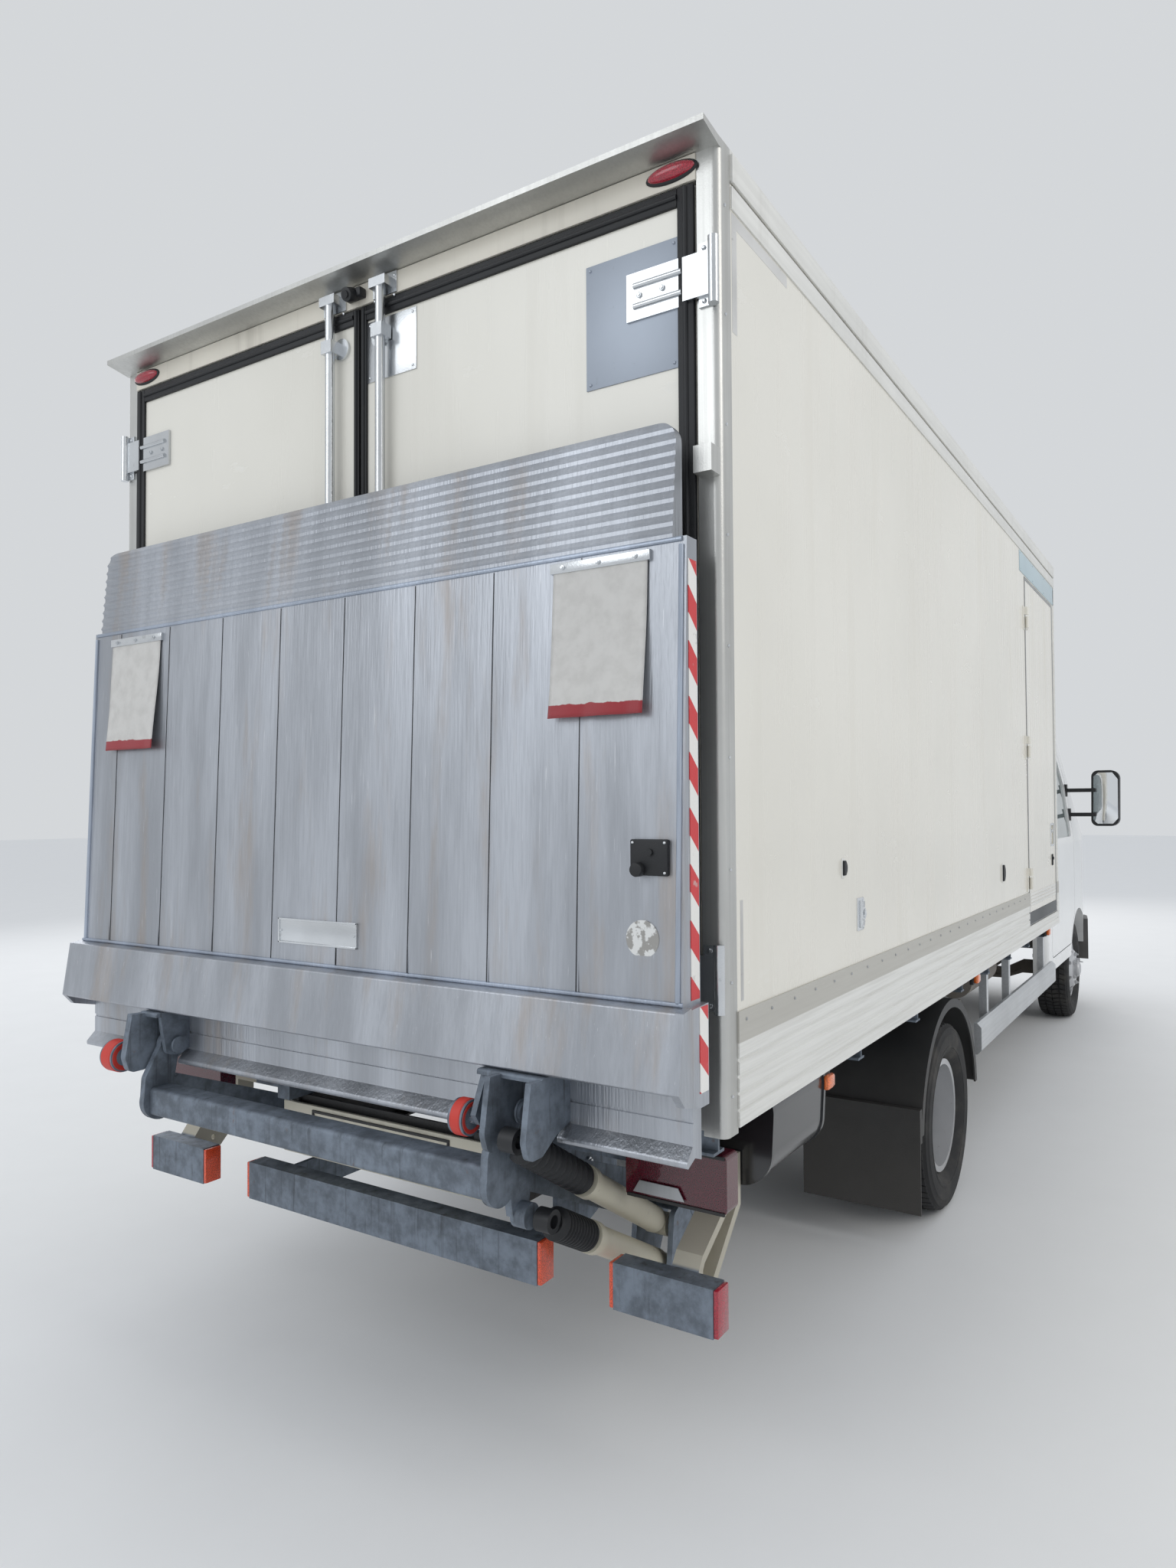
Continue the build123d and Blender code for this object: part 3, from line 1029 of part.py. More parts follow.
def platform_deck():
    """Tapered aluminium deck of planks, ribbed ramp at its tip, flap and hinge profile at its foot."""
    inner = PLATFORM_INNER
    foot = inner - 80
    ramp_foot = inner - 46
    tip = inner - 22
    deck = along_y(outline([(inner, HINGE_LIP + 5), (inner, RAMP_LOW), (ramp_foot, RAMP_LOW), (foot, FLAP_TOP),
                            (foot, FLAP_TOP - 60), (inner - 40, FLAP_TOP - 110), (inner - 40, HINGE_LIP + 42),
                            (inner - 68, HINGE_LIP + 14, 10), (inner - 66, HINGE_LIP, 5),
                            (inner - 30, HINGE_LIP + 16)]),
                   -PLATFORM_HALF, PLATFORM_HALF)
    ribs = 10
    points = [(inner, RAMP_LOW - 1), (inner, PLATFORM_TOP), (tip, PLATFORM_TOP)]
    pitch = (PLATFORM_TOP - RAMP_LOW) / ribs
    for k in range(ribs):
        z = PLATFORM_TOP - (k + 1) * pitch
        x = tip + (ramp_foot - tip) * (k + 1) / ribs
        points = points + [(x - 4, z + pitch * 0.55), (x, z + pitch * 0.35), (x, z)]
    points = points + [(ramp_foot, RAMP_LOW - 1)]
    ramp = along_y(outline(points), -PLATFORM_HALF + 34, PLATFORM_HALF - 34)
    corner = along_x(outline([(-PLATFORM_HALF + 34, RAMP_LOW - 20), (-PLATFORM_HALF + 34, PLATFORM_TOP, 45),
                              (PLATFORM_HALF - 34, PLATFORM_TOP, 45), (PLATFORM_HALF - 34, RAMP_LOW - 20)]),
                     inner - 120, inner + 5)
    ramp = ramp & corner
    deck = deck + ramp
    for k in range(PLANK_JOINTS):
        y = PLANK_FIRST + k * PLANK_PITCH
        deck = deck - block(foot - 5, foot + 3, y - 2, y + 2, FLAP_TOP, RAMP_LOW - 45)
    flap = along_y(outline([(foot + 2, FLAP_TOP + 12), (foot - 34, FLAP_TOP + 6, 6), (foot - 58, FLAP_LOW, 4),
                            (foot - 52, FLAP_LOW - 4), (foot - 28, FLAP_TOP - 14), (foot + 2, FLAP_TOP - 16)]),
                   -1095, 1095)
    deck = deck + flap
    cheek = along_y(outline([(inner, FLAP_TOP + 12), (foot - 34, FLAP_TOP + 6), (foot - 57, FLAP_LOW), (foot - 30, FLAP_LOW - 30),
                             (inner - 38, FLAP_LOW - 46), (inner, FLAP_LOW - 46)]), PLATFORM_HALF, 1095)
    deck = deck + cheek + mirrored(cheek)
    groove_z = FLAP_LOW - 78
    deck = deck - block(inner - 44, inner - 37, -PLATFORM_HALF - 1, PLATFORM_HALF + 1, groove_z - 4, groove_z + 4)
    for side in (-1, 1):
        y0, y1 = sorted((side * 608, side * 642))
        deck = deck - block(inner - 90, inner + 5, y0 - 2, y1 + 2, HINGE_LIP - 5, 985)
    return deck - block(inner - 90, inner + 5, CYLINDER_Y - ROD_ROOM, CYLINDER_Y + ROD_ROOM, HINGE_LIP - 5, FLAP_LOW - 11)


def platform_brackets():
    """Steel cheeks under the flap that hold the pins, with the tongue and the rollers."""
    back = PLATFORM_INNER - 40
    p = PLATFORM_PIN
    q = TILT_EYE
    short = outline([(back, 1000), (back - 95, 1004), (back - 90, 960), (p[0] - 30, p[1] - 24, 20),
                     (p[0] + 10, p[1] - 32, 20), (back, p[1] - 18)])
    tall = outline([(back, 1000), (back - 150, 1008), (q[0] - 36, q[1] + 12, 24), (q[0] - 22, q[1] - 32, 22),
                    (q[0] + 26, q[1] - 32, 22), (p[0] - 10, p[1] - 34), (back, p[1] - 18)])
    pieces = []
    for cheeks in (CHEEKS_RIGHT, CHEEKS_LEFT):
        for k, (y0, y1) in enumerate(cheeks):
            pieces = pieces + [along_y(short if k == 0 else tall, y0, y1)]
        low = min(c[0] for c in cheeks)
        high = max(c[1] for c in cheeks)
        tongue = along_y(outline([(back, 994), (back, 1006), (back - 110, 1009, 6), (back - 110, 997)]), low, high)
        pieces = pieces + [tongue]
    whole = joined(pieces)
    for y0, y1 in ((-660, -640), (-607, -588), (588, 607), (644, 670)):
        whole = whole - rod_y(p[0], p[1], PLATFORM_PIN_RADIUS + RUNNING_FIT, y0, y1)
    for x, z, y0, y1 in ((q[0] - 2, q[1] + 4, 668, 762), (q[0] + 24, q[1] + 22, -590, -532)):
        whole = whole + rod_y(x, z, 12, y0, y1)
    whole = whole + along_y(outline([(back - 90, 1004), (q[0] + 2, q[1] + 36), (q[0] + 24, q[1] + 2, 18),
                                     (q[0] + 60, q[1] + 22, 18), (back - 20, 1004)]), -605, -590)
    roller_left = rod_y(q[0] - 2, q[1] + 4, 44, 700, 755)
    roller_right = rod_y(q[0] + 24, q[1] + 22, 40, -578, -538)
    return whole + roller_left + roller_right


def cylinder_barrel(frame_eye, far_eye, length):
    """Hydraulic barrel with a bored eye at its frame end, hollow for its rod."""
    y = CYLINDER_Y
    start = towards(frame_eye, far_eye, 38)
    end = towards(frame_eye, far_eye, length)
    body = rod_between(start, end, BARREL_RADIUS, y)
    body = body + rod_y(frame_eye[0], frame_eye[1], 30, y - 32, y + 32)
    body = body + rod_between(frame_eye, start, 22, y)
    gland = rod_between(towards(frame_eye, far_eye, length - 26), end, BARREL_RADIUS + 5, y)
    body = body + gland
    body = body - rod_y(frame_eye[0], frame_eye[1], CYLINDER_PIN_RADIUS + RUNNING_FIT, y - 60, y + 60)
    body = body - rod_between(towards(frame_eye, far_eye, 60), towards(frame_eye, far_eye, length + 5),
                              ROD_RADIUS + RUNNING_FIT, y)
    return body


def cylinder_rod(frame_eye, far_eye, hidden):
    """Rod from inside the barrel to its eye at the far end."""
    y = CYLINDER_Y
    start = towards(frame_eye, far_eye, hidden)
    stop = towards(far_eye, frame_eye, 20)
    rod = rod_between(start, stop, ROD_RADIUS, y)
    eye = rod_y(far_eye[0], far_eye[1], 27, y - 20, y + 20)
    eye = eye - rod_y(far_eye[0], far_eye[1], CYLINDER_PIN_RADIUS, y - 30, y + 30)
    return rod + eye


def tail_lamps():
    """Dark red cluster on each side, hung from the rear bearer."""
    left = along_x(outline([(768, 650, 12), (1038, 650, 18), (1038, 788, 12), (768, 788, 12)]), 130, 190)
    left = left + along_x(outline([(792, 664), (928, 664), (912, 690, 12), (806, 690, 12)]), 126, 131)
    bracket = block(130, 136, 800, 1000, 780, RUNNER_TOP)
    left = left + bracket
    return left + mirrored(left)


NODES = {}


def add(name, shape):
    NODES[name] = shape


add("chassis_frame", chassis_frame())
add("subframe", subframe())
add("rear_axle", rear_axle())
add("front_axle", front_axle())
add("leaf_springs", leaf_springs())
add("engine_and_shaft", engine_and_shaft())
add("fuel_tank", fuel_tank())
add("exhaust", exhaust())
add("side_guards", side_guards())
add("mudguards", mudguards())
add("power_pack", power_pack())

add("box_floor", box_floor())
add("box_roof", box_roof())
add("box_side_left", box_side(1))
add("box_side_right", box_side(-1, doorway=True))
add("box_front_wall", box_front_wall())
add("rear_frame", rear_frame())
add("rear_door_left", rear_door(1))
add("rear_door_right", rear_door(-1))
add("rear_door_gear", rear_door_gear())
add("skirt_rails", skirt_rails())
add("side_door", side_door())
add("refrigeration_unit", refrigeration_unit())

add("cab_shell", cab_shell())
add("front_wings", front_wings())
add("cab_floor", cab_floor())
add("windscreen", windscreen())
add("bonnet", bonnet())
add("headlamps", headlamps())
add("front_bumper", front_bumper())
add("dashboard", dashboard())
add("steering_wheel", steering_wheel())
add("cab_seats", cab_seats())
for side, word in ((1, "left"), (-1, "right")):
    add("cab_door_" + word, cab_door(side))
    add("door_glass_" + word, door_glass(side))
    add("mirror_" + word, door_mirror(side))

front_wheel = front_rim()
front_tyre = Pos(FRONT_AXLE_X, 0, AXLE_Z) * tyre(FRONT_TRACK / 2)
rear_wheel = rear_rims()
rear_tyre_pair = Pos(REAR_AXLE_X, 0, AXLE_Z) * (tyre(TWIN_OUTER_Y) + tyre(TWIN_OUTER_Y - TWIN_SPACING))
left_knuckle = knuckle()
for side, word in ((1, "left"), (-1, "right")):
    for name, shape in (("knuckle_", left_knuckle), ("front_rim_", front_wheel), ("front_tyre_", front_tyre),
                        ("rear_rims_", rear_wheel), ("rear_tyres_", rear_tyre_pair)):
        add(name + word, shape if side > 0 else mirrored(shape))

add("lift_frame", lift_frame())
add("lift_arms", lift_arms())
add("arm_pins", arm_pins())
add("platform_deck", platform_deck())
add("platform_brackets", platform_brackets())
add("lift_barrel", cylinder_barrel(LIFT_PIVOT, LIFT_EYE, LIFT_BARREL))
add("lift_rod", cylinder_rod(LIFT_PIVOT, LIFT_EYE, LIFT_ROD_HIDDEN))
add("tilt_barrel", cylinder_barrel(TILT_FRAME_EYE, TILT_EYE, TILT_BARREL))
add("tilt_rod", cylinder_rod(TILT_FRAME_EYE, TILT_EYE, TILT_ROD_HIDDEN))
add("tail_lamps", tail_lamps())

os.makedirs("parts", exist_ok=True)
for name, shape in NODES.items():
    shapes = shape if isinstance(shape, list) else [shape]
    solids = [solid for each in shapes for solid in (Pos(FRAME_SHIFT, 0, 0) * each).solids()]
    export_step(solids[0] if len(solids) == 1 else Compound(children=solids), "parts/" + name + ".step")
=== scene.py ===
import math
import bmesh
import bpy
from mathutils import Matrix, Vector


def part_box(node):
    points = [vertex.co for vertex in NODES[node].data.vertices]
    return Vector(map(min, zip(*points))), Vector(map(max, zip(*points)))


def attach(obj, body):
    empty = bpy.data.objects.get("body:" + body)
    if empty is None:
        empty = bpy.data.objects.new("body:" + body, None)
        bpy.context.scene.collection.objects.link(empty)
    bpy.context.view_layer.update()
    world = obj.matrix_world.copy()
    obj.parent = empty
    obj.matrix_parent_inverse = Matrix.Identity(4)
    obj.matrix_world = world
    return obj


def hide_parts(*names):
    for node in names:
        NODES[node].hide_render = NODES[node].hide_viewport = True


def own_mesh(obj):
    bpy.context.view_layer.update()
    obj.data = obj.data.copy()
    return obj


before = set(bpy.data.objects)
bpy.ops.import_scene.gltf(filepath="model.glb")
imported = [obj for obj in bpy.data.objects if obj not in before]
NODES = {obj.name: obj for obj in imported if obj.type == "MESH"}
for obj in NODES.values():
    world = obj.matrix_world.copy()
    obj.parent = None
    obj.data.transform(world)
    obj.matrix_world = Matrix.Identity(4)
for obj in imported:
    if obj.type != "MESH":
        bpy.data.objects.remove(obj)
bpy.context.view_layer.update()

# Places in metres. REAR is the rear face of the insulated box, and place() counts forward from it.
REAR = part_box("rear_door_left")[0][0] - 0.002
BOX_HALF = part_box("box_roof")[1][1]
BOX_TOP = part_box("box_roof")[1][2]
BOX_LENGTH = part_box("box_roof")[1][0] - REAR
BOX_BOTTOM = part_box("box_floor")[0][2]
DOOR_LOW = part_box("rear_door_left")[0][2]
DOOR_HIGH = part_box("rear_door_left")[1][2]
DOOR_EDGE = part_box("rear_door_left")[1][1]
STRIP_LOW = 1.070
SKIRT_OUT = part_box("skirt_rails")[1][1]
SIDE_DOOR = (3.777, 4.713, 0.967, 2.823)
AXLE_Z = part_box("rear_tyres_left")[1][2] / 2
TYRE_RADIUS = AXLE_Z
REAR_AXLE = (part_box("rear_tyres_left")[0][0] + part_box("rear_tyres_left")[1][0]) / 2
FRONT_AXLE = (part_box("front_tyre_left")[0][0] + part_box("front_tyre_left")[1][0]) / 2
TYRE_HALF = 0.1125
FRONT_WHEEL_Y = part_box("front_tyre_left")[1][1] - TYRE_HALF
OUTER_WHEEL_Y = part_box("rear_tyres_left")[1][1] - TYRE_HALF
INNER_WHEEL_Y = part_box("rear_tyres_left")[0][1] + TYRE_HALF
PLATFORM_HALF = 1.076
DECK_FACE = (-0.155, 1.170, -0.121, 2.168)
PLATFORM_PIN = (-0.160, 0.910)
PIN_END_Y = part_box("arm_pins")[0][1]
CYLINDER_Y = -0.7075
UNDERRUN_REAR = 0.066
# How far a part fixed on the box reaches into its skin
SUNK = 0.001
PLANK_JOINT = -0.812
PLANK_PITCH = 0.2495
PLANK_GAP = 0.003
ARM_PIVOT = (0.500, 0.510)
TILT_EYE = (-0.250, 0.875)
TILT_FRAME_EYE = (ARM_PIVOT[0] + TILT_EYE[0] - PLATFORM_PIN[0], ARM_PIVOT[1] + TILT_EYE[1] - PLATFORM_PIN[1])
LIFT_EYE = (-0.120, 0.660)
LIFT_FRAME_EYE = (0.420, 0.360)
# Camera solved from the box's edges in the photograph: place, angles in radians, lens in mm
EYE = (-2.020, -2.045, 1.588)
YAW, PITCH, ROLL = 0.571, 0.0263, -0.0053
LENS = 23.25
# Studio light: what lights the part, what the camera sees behind it, and how strong the first is
SKY_LIGHT = (0.90, 0.94, 1.0, 1.0)
SKY_STRENGTH = 0.83
BACKDROP = (0.66, 0.68, 0.70, 1.0)
FLOOR_REACH = 60.0
# Boots of the two cylinders: length of the barrel behind the rod's eye, and the rod's travel
LIFT_BARREL, LIFT_TRAVEL = 0.420, 0.137
TILT_BARREL, TILT_TRAVEL = 0.440, 0.142


def place(x, y, z):
    """Point in the frame, x metres forward of the rear face of the box."""
    return Vector((REAR + x, y, z))


def wall(x, out, z):
    """Point over the right wall of the box, out metres proud of its skin."""
    return place(x, -BOX_HALF - out, z)


def span(side, near, far):
    """Two distances from the middle plane on one side (1 left, -1 right), the lower y first."""
    return sorted((side * near, side * far))


def deck_x(z):
    """Outer face of the closed platform at height z, forward of the rear face of the box."""
    foot_x, foot_z, top_x, top_z = DECK_FACE
    return foot_x + (top_x - foot_x) * (z - foot_z) / (top_z - foot_z)


# Shader maths


class Value:
    """An output socket of a finish; Python's operators on it add nodes."""

    def __init__(self, finish, socket):
        self.finish = finish
        self.socket = socket

    def math(self, operation, *others):
        return self.finish.node("ShaderNodeMath", {"operation": operation}, (self, *others))

    def __add__(self, other):
        return self.math("ADD", other)

    def __sub__(self, other):
        return self.math("SUBTRACT", other)

    def __mul__(self, other):
        return self.math("MULTIPLY", other)

    def __rsub__(self, other):
        return self.finish.node("ShaderNodeMath", {"operation": "SUBTRACT"}, (other, self))

    __radd__ = __add__
    __rmul__ = __mul__

    def above(self, low, high):
        """0 below low, 1 above high, and smooth between."""
        settings = {"interpolation_type": "SMOOTHSTEP"}
        return self.finish.node("ShaderNodeMapRange", settings, (self, low, high))


class Finish:
    """A node material for one real finish."""

    def __init__(self, name):
        self.material = bpy.data.materials.new(name)
        self.material.use_nodes = True
        self.tree = self.material.node_tree
        self.shader = self.tree.nodes["Principled BSDF"]
        coordinates = self.tree.nodes.new("ShaderNodeTexCoord")
        self.spot = Value(self, coordinates.outputs["Object"])

    def node(self, kind, settings, inputs, output=0):
        made = self.tree.nodes.new(kind)
        for name, value in settings.items():
            setattr(made, name, value)
        pairs = inputs.items() if isinstance(inputs, dict) else enumerate(inputs)
        for key, value in pairs:
            self.feed(made.inputs[key], value)
        return Value(self, made.outputs[output])

    def feed(self, socket, value):
        if isinstance(value, Value):
            self.tree.links.new(value.socket, socket)
        elif socket.type == "RGBA" and len(value) == 3:
            socket.default_value = (*value, 1.0)
        else:
            socket.default_value = value

    def set(self, **sockets):
        for name, value in sockets.items():
            self.feed(self.shader.inputs[name.replace("_", " ")], value)
        return self

    def axis(self, index):
        return self.node("ShaderNodeSeparateXYZ", {}, (self.spot,), index)

    def stretched(self, scale, turn=(0, 0, 0), move=(0, 0, 0)):
        return self.node("ShaderNodeMapping", {}, {"Vector": self.spot, "Scale": scale, "Rotation": turn,
                                                    "Location": move})

    def noise(self, size, detail=4.0, stretch=None, turn=(0, 0, 0)):
        where = self.stretched(stretch, turn) if stretch else self.spot
        inputs = {"Vector": where, "Scale": size, "Detail": detail, "Roughness": 0.6}
        return self.node("ShaderNodeTexNoise", {}, inputs)

    def cells(self, size, stretch=(1, 1, 1)):
        inputs = {"Vector": self.stretched(stretch), "Scale": size}
        return self.node("ShaderNodeTexVoronoi", {}, inputs)

    def mix(self, share, first, second):
        return self.node("ShaderNodeMix", {"data_type": "RGBA"}, {0: share, 6: first, 7: second}, 2)

    def bump(self, height, depth):
        inputs = {"Height": height, "Strength": 1.0, "Distance": depth}
        return self.node("ShaderNodeBump", {}, inputs)


def tint(colour, factor):
    return tuple(min(1.0, c * factor) for c in colour)


def coated(name, colour, rough, metal=0.0, coat=0.0, cloud=0.08, size=1.6, runs=0.0, specks=0.0, dust=0.0,
           dust_top=0.9, grain=0.0, grain_size=260.0, brushed=None):
    """Finish with slow changes of shade, dark runs, specks and road dust low down.

    brushed is the stretch of fine grain lines: a small number along their run.
    """
    f = Finish(name)
    shade = f.noise(size, 5.0)
    paint = f.mix(shade.above(0.3, 0.7), tint(colour, 1 - cloud), tint(colour, 1 + cloud))
    gloss = rough - 0.1 * rough + shade * 0.2 * rough
    if brushed:
        lines = f.noise(1.0, 3.0, brushed)
        paint = f.mix(lines.above(0.35, 0.7) * 0.35, paint, tint(colour, 0.78))
        gloss = gloss + lines * 0.12
    if runs:
        wet = f.noise(1.0, 4.0, (14, 14, 0.7)).above(0.52, 0.74)
        paint = f.mix(wet * runs, paint, (0.22, 0.19, 0.15))
        gloss = gloss + wet * runs * 0.25
    if specks:
        spots = f.noise(38.0, 3.0).above(0.66, 0.74)
        paint = f.mix(spots * specks, paint, (0.10, 0.08, 0.06))
    if dust:
        low = (f.axis(2) * (-1 / dust_top) + 1 + f.noise(5.0, 6.0) * 0.5 - 0.2).above(0.0, 1.0)
        paint = f.mix(low * dust, paint, (0.27, 0.24, 0.20))
        gloss = gloss + low * dust * 0.35
    if grain:
        f.set(Normal=f.bump(f.noise(grain_size, 3.0), grain))
    f.set(Base_Color=paint, Roughness=gloss, Metallic=metal)
    if coat:
        f.set(Coat_Weight=coat, Coat_Roughness=0.12)
    return f


def body_panel():
    """Cream white plastic skin of the box, cleaner high up, with ghost shapes and soft ripples."""
    f = Finish("box skin")
    broad = f.noise(0.9, 3.0)
    paint = f.mix(broad.above(0.3, 0.7), (0.80, 0.775, 0.70), (0.745, 0.72, 0.645))
    film = f.noise(1.0, 4.0, (9, 9, 0.5)).above(0.5, 0.8)
    low = (f.axis(2) * -0.9 + 1.9).above(0.0, 1.0)
    paint = f.mix(film * 0.10 + low * 0.12, paint, (0.50, 0.45, 0.36))
    scuffs = f.noise(3.2, 8.0, (1, 1, 2.4)).above(0.66, 0.70)
    paint = f.mix(scuffs * 0.12, paint, (0.88, 0.88, 0.86))
    ripple = f.noise(2.3, 2.0, (1.0, 1.0, 0.55))
    f.set(Base_Color=paint, Roughness=0.26 + film * 0.2 + scuffs * 0.15, Coat_Weight=0.25,
          Coat_Roughness=0.08, Normal=f.bump(ripple, 0.010))
    return f


def deck_metal(name, brown_reflection, bright):
    """Brushed aluminium of the platform, with dull vertical smears and brown vertical streaks that are a
    painted brownish reflection.
    """
    f = Finish(name)
    smear = f.noise(1.0, 5.0, (5.5, 5.5, 0.8))
    fine = f.noise(1.0, 3.0, (150, 150, 5.0))
    paint = f.mix(smear.above(0.34, 0.68), tint(bright, 0.72), bright)
    # Brown vertical streaks: a painted brownish reflection mixed into the colour, not a stain
    brown = f.noise(1.0, 5.0, (8.0, 8.0, 1.3)).above(0.52, 0.72)
    paint = f.mix(brown * brown_reflection, paint, (0.40, 0.33, 0.27))
    paint = f.mix(fine.above(0.4, 0.7) * 0.25, paint, tint(bright, 0.62))
    scratches = f.noise(1.0, 2.0, (240, 240, 3.0), (0.0, 0.35, 0.0)).above(0.70, 0.74)
    paint = f.mix(scratches * 0.35, paint, (0.85, 0.86, 0.88))
    f.set(Base_Color=paint, Metallic=0.82, Roughness=0.26 + smear * 0.22 + brown * 0.12,
          Normal=f.bump(fine + smear * 3, 0.0012))
    return f


def galvanised_steel(name, colour, cream_beyond=None):
    """Dull zinc with a blotchy bloom, thin rust marks and dark vertical weeps.

    Steel further than cream_beyond from the truck's middle plane and ahead of the bars is painted cream.
    """
    f = Finish(name)
    bloom = f.noise(30.0, 5.0)
    cloud = f.noise(6.0, 6.0)
    paint = f.mix((bloom * 0.5 + cloud * 0.5).above(0.36, 0.64), tint(colour, 0.68), tint(colour, 1.30))
    weep = f.noise(1.0, 5.0, (48, 48, 2.5)).above(0.55, 0.72)
    paint = f.mix(weep * 0.6, paint, (0.045, 0.047, 0.05))
    rust = f.noise(17.0, 8.0).above(0.66, 0.74)
    if cream_beyond:
        aside = f.axis(1).math("ABSOLUTE").above(cream_beyond - 0.002, cream_beyond + 0.002)
        ahead = f.axis(0).above(REAR + UNDERRUN_REAR + 0.060, REAR + UNDERRUN_REAR + 0.066)
        paint = f.mix(aside * ahead, paint, (0.50, 0.47, 0.39))
    paint = f.mix(rust * 0.5, paint, (0.23, 0.11, 0.05))
    f.set(Base_Color=paint, Metallic=0.45, Roughness=0.46 + cloud * 0.22 + rust * 0.2,
          Normal=f.bump(cloud + bloom, 0.0008))
    return f


def tyre_rubber():
    f = Finish("tyre rubber")
    dusty = f.noise(9.0, 7.0)
    paint = f.mix(dusty.above(0.42, 0.8) * 0.55, (0.018, 0.018, 0.019), (0.10, 0.092, 0.08))
    f.set(Base_Color=paint, Roughness=0.72 + dusty * 0.2, Normal=f.bump(f.noise(420.0, 2.0), 0.0006))
    return f


def striped_tape():
    """Red and white retroreflective tape, cut on the slant."""
    f = Finish("red and white tape")
    slant = (f.axis(2) + f.axis(0) * 0.9) * 8.5
    red = slant.math("FRACT").above(0.49, 0.51)
    worn = f.noise(30.0, 6.0).above(0.62, 0.68)
    paint = f.mix(red, (0.82, 0.80, 0.76), (0.62, 0.03, 0.035))
    paint = f.mix(worn * 0.6, paint, (0.55, 0.53, 0.50))
    f.set(Base_Color=paint, Roughness=0.35, Normal=f.bump(f.cells(420.0), 0.0003))
    return f


def flag_cloth():
    """White coated cloth with a worn red hem; its pattern follows the cloth's own coordinates."""
    f = Finish("flag cloth")
    sheet = f.node("ShaderNodeUVMap", {}, ())
    down = f.node("ShaderNodeSeparateXYZ", {}, (sheet,), 1)
    worn = f.noise(24.0, 6.0)
    hem = (0.085 - down + (worn - 0.5) * 0.05).above(0.0, 0.006)
    paint = f.mix(worn.above(0.35, 0.75), (0.82, 0.80, 0.76), (0.72, 0.70, 0.66))
    paint = f.mix(hem, paint, (0.42, 0.035, 0.045))
    weave = f.node("ShaderNodeTexWave", {"wave_type": "BANDS"}, {"Vector": sheet, "Scale": 90.0})
    f.set(Base_Color=paint, Roughness=0.78, Sheen_Weight=0.2, Normal=f.bump(weave, 0.0004))
    return f


def woven_fabric():
    f = Finish("seat cloth")
    warp = f.node("ShaderNodeTexWave", {"bands_direction": "Y"}, {"Vector": f.spot, "Scale": 120.0})
    weft = f.node("ShaderNodeTexWave", {"bands_direction": "X"}, {"Vector": f.spot, "Scale": 120.0})
    paint = f.mix((warp + weft) * 0.5, (0.045, 0.048, 0.058), (0.10, 0.105, 0.125))
    f.set(Base_Color=paint, Roughness=0.9, Sheen_Weight=0.35, Normal=f.bump(warp * weft, 0.0008))
    return f


def clear_sheet(name, colour, rough=0.02, density=0.75):
    f = Finish(name)
    film = f.noise(4.0, 5.0)
    f.set(Base_Color=f.mix(film.above(0.4, 0.8), colour, tint(colour, 0.9)), Roughness=rough + film * 0.04,
          Transmission_Weight=density, IOR=1.45, Coat_Weight=0.3, Coat_Roughness=0.03)
    return f


def lamp_lens(name, colour):
    """Moulded lamp plastic with the fine prisms behind it."""
    f = Finish(name)
    prism = f.cells(330.0)
    paint = f.mix(prism.above(0.2, 0.7), tint(colour, 0.6), tint(colour, 1.25))
    f.set(Base_Color=paint, Roughness=0.16 + prism * 0.1, Coat_Weight=0.8, Coat_Roughness=0.04,
          Normal=f.bump(prism, 0.0004))
    return f


def polished_rod(name, eye):
    """Polished rod with a black eye."""
    f = Finish(name)
    centre = place(eye[0], CYLINDER_Y, eye[1])
    distance = f.node("ShaderNodeVectorMath", {"operation": "DISTANCE"}, (f.spot, centre), 1)
    shaft = distance.above(0.046, 0.050)
    haze = f.noise(20.0, 5.0)
    f.set(Base_Color=f.mix(shaft, (0.022, 0.023, 0.025), (0.78, 0.78, 0.80)), Metallic=shaft * 0.8 + 0.2,
          Roughness=0.42 - shaft * 0.34 + haze * 0.04)
    return f


def aged_sticker():
    f = Finish("worn sticker")
    worn = f.noise(34.0, 6.0).above(0.48, 0.54)
    f.set(Base_Color=f.mix(worn, (0.72, 0.72, 0.70), (0.33, 0.32, 0.30)), Roughness=0.5 + worn * 0.2)
    return f


def skirt_metal():
    """White ribbed rail below the dull grey riveted strip."""
    f = Finish("skirt rail")
    upper = f.axis(2).above(STRIP_LOW - 0.002, STRIP_LOW + 0.002)
    lines = f.noise(1.0, 4.0, (2.0, 2.0, 90.0))
    paint = f.mix(upper, (0.78, 0.775, 0.74), (0.50, 0.485, 0.44))
    paint = f.mix(lines.above(0.35, 0.75) * 0.3, paint, (0.44, 0.42, 0.38))
    f.set(Base_Color=paint, Metallic=0.25, Roughness=0.34 + lines * 0.2, Normal=f.bump(lines, 0.0008))
    return f


PANEL = body_panel()
DECK = deck_metal("deck aluminium", 0.5, (0.53, 0.555, 0.60))
FLAP = deck_metal("flap aluminium", 0.10, (0.50, 0.56, 0.66))
ZINC = galvanised_steel("galvanised steel", (0.175, 0.205, 0.245))
LIFT_FRAME = galvanised_steel("lift frame steel", (0.175, 0.205, 0.245), 0.800)
TYRE = tyre_rubber()
TAPE = striped_tape()
FLAG = flag_cloth()
CLOTH = woven_fabric()
GLASS = clear_sheet("tinted glass", (0.52, 0.60, 0.60))
LAMP_CLEAR = clear_sheet("clear lamp cover", (0.92, 0.94, 0.95), 0.01, 0.95)
RED_LENS = lamp_lens("red lens", (0.34, 0.012, 0.03))
DARK_RED_LENS = lamp_lens("dark red lens", (0.075, 0.003, 0.012))
ORANGE_LENS = lamp_lens("orange lens", (0.80, 0.16, 0.02))
CAP_LENS = lamp_lens("red orange end cap", (0.70, 0.075, 0.02))
STICKER = aged_sticker()
SKIRT = skirt_metal()
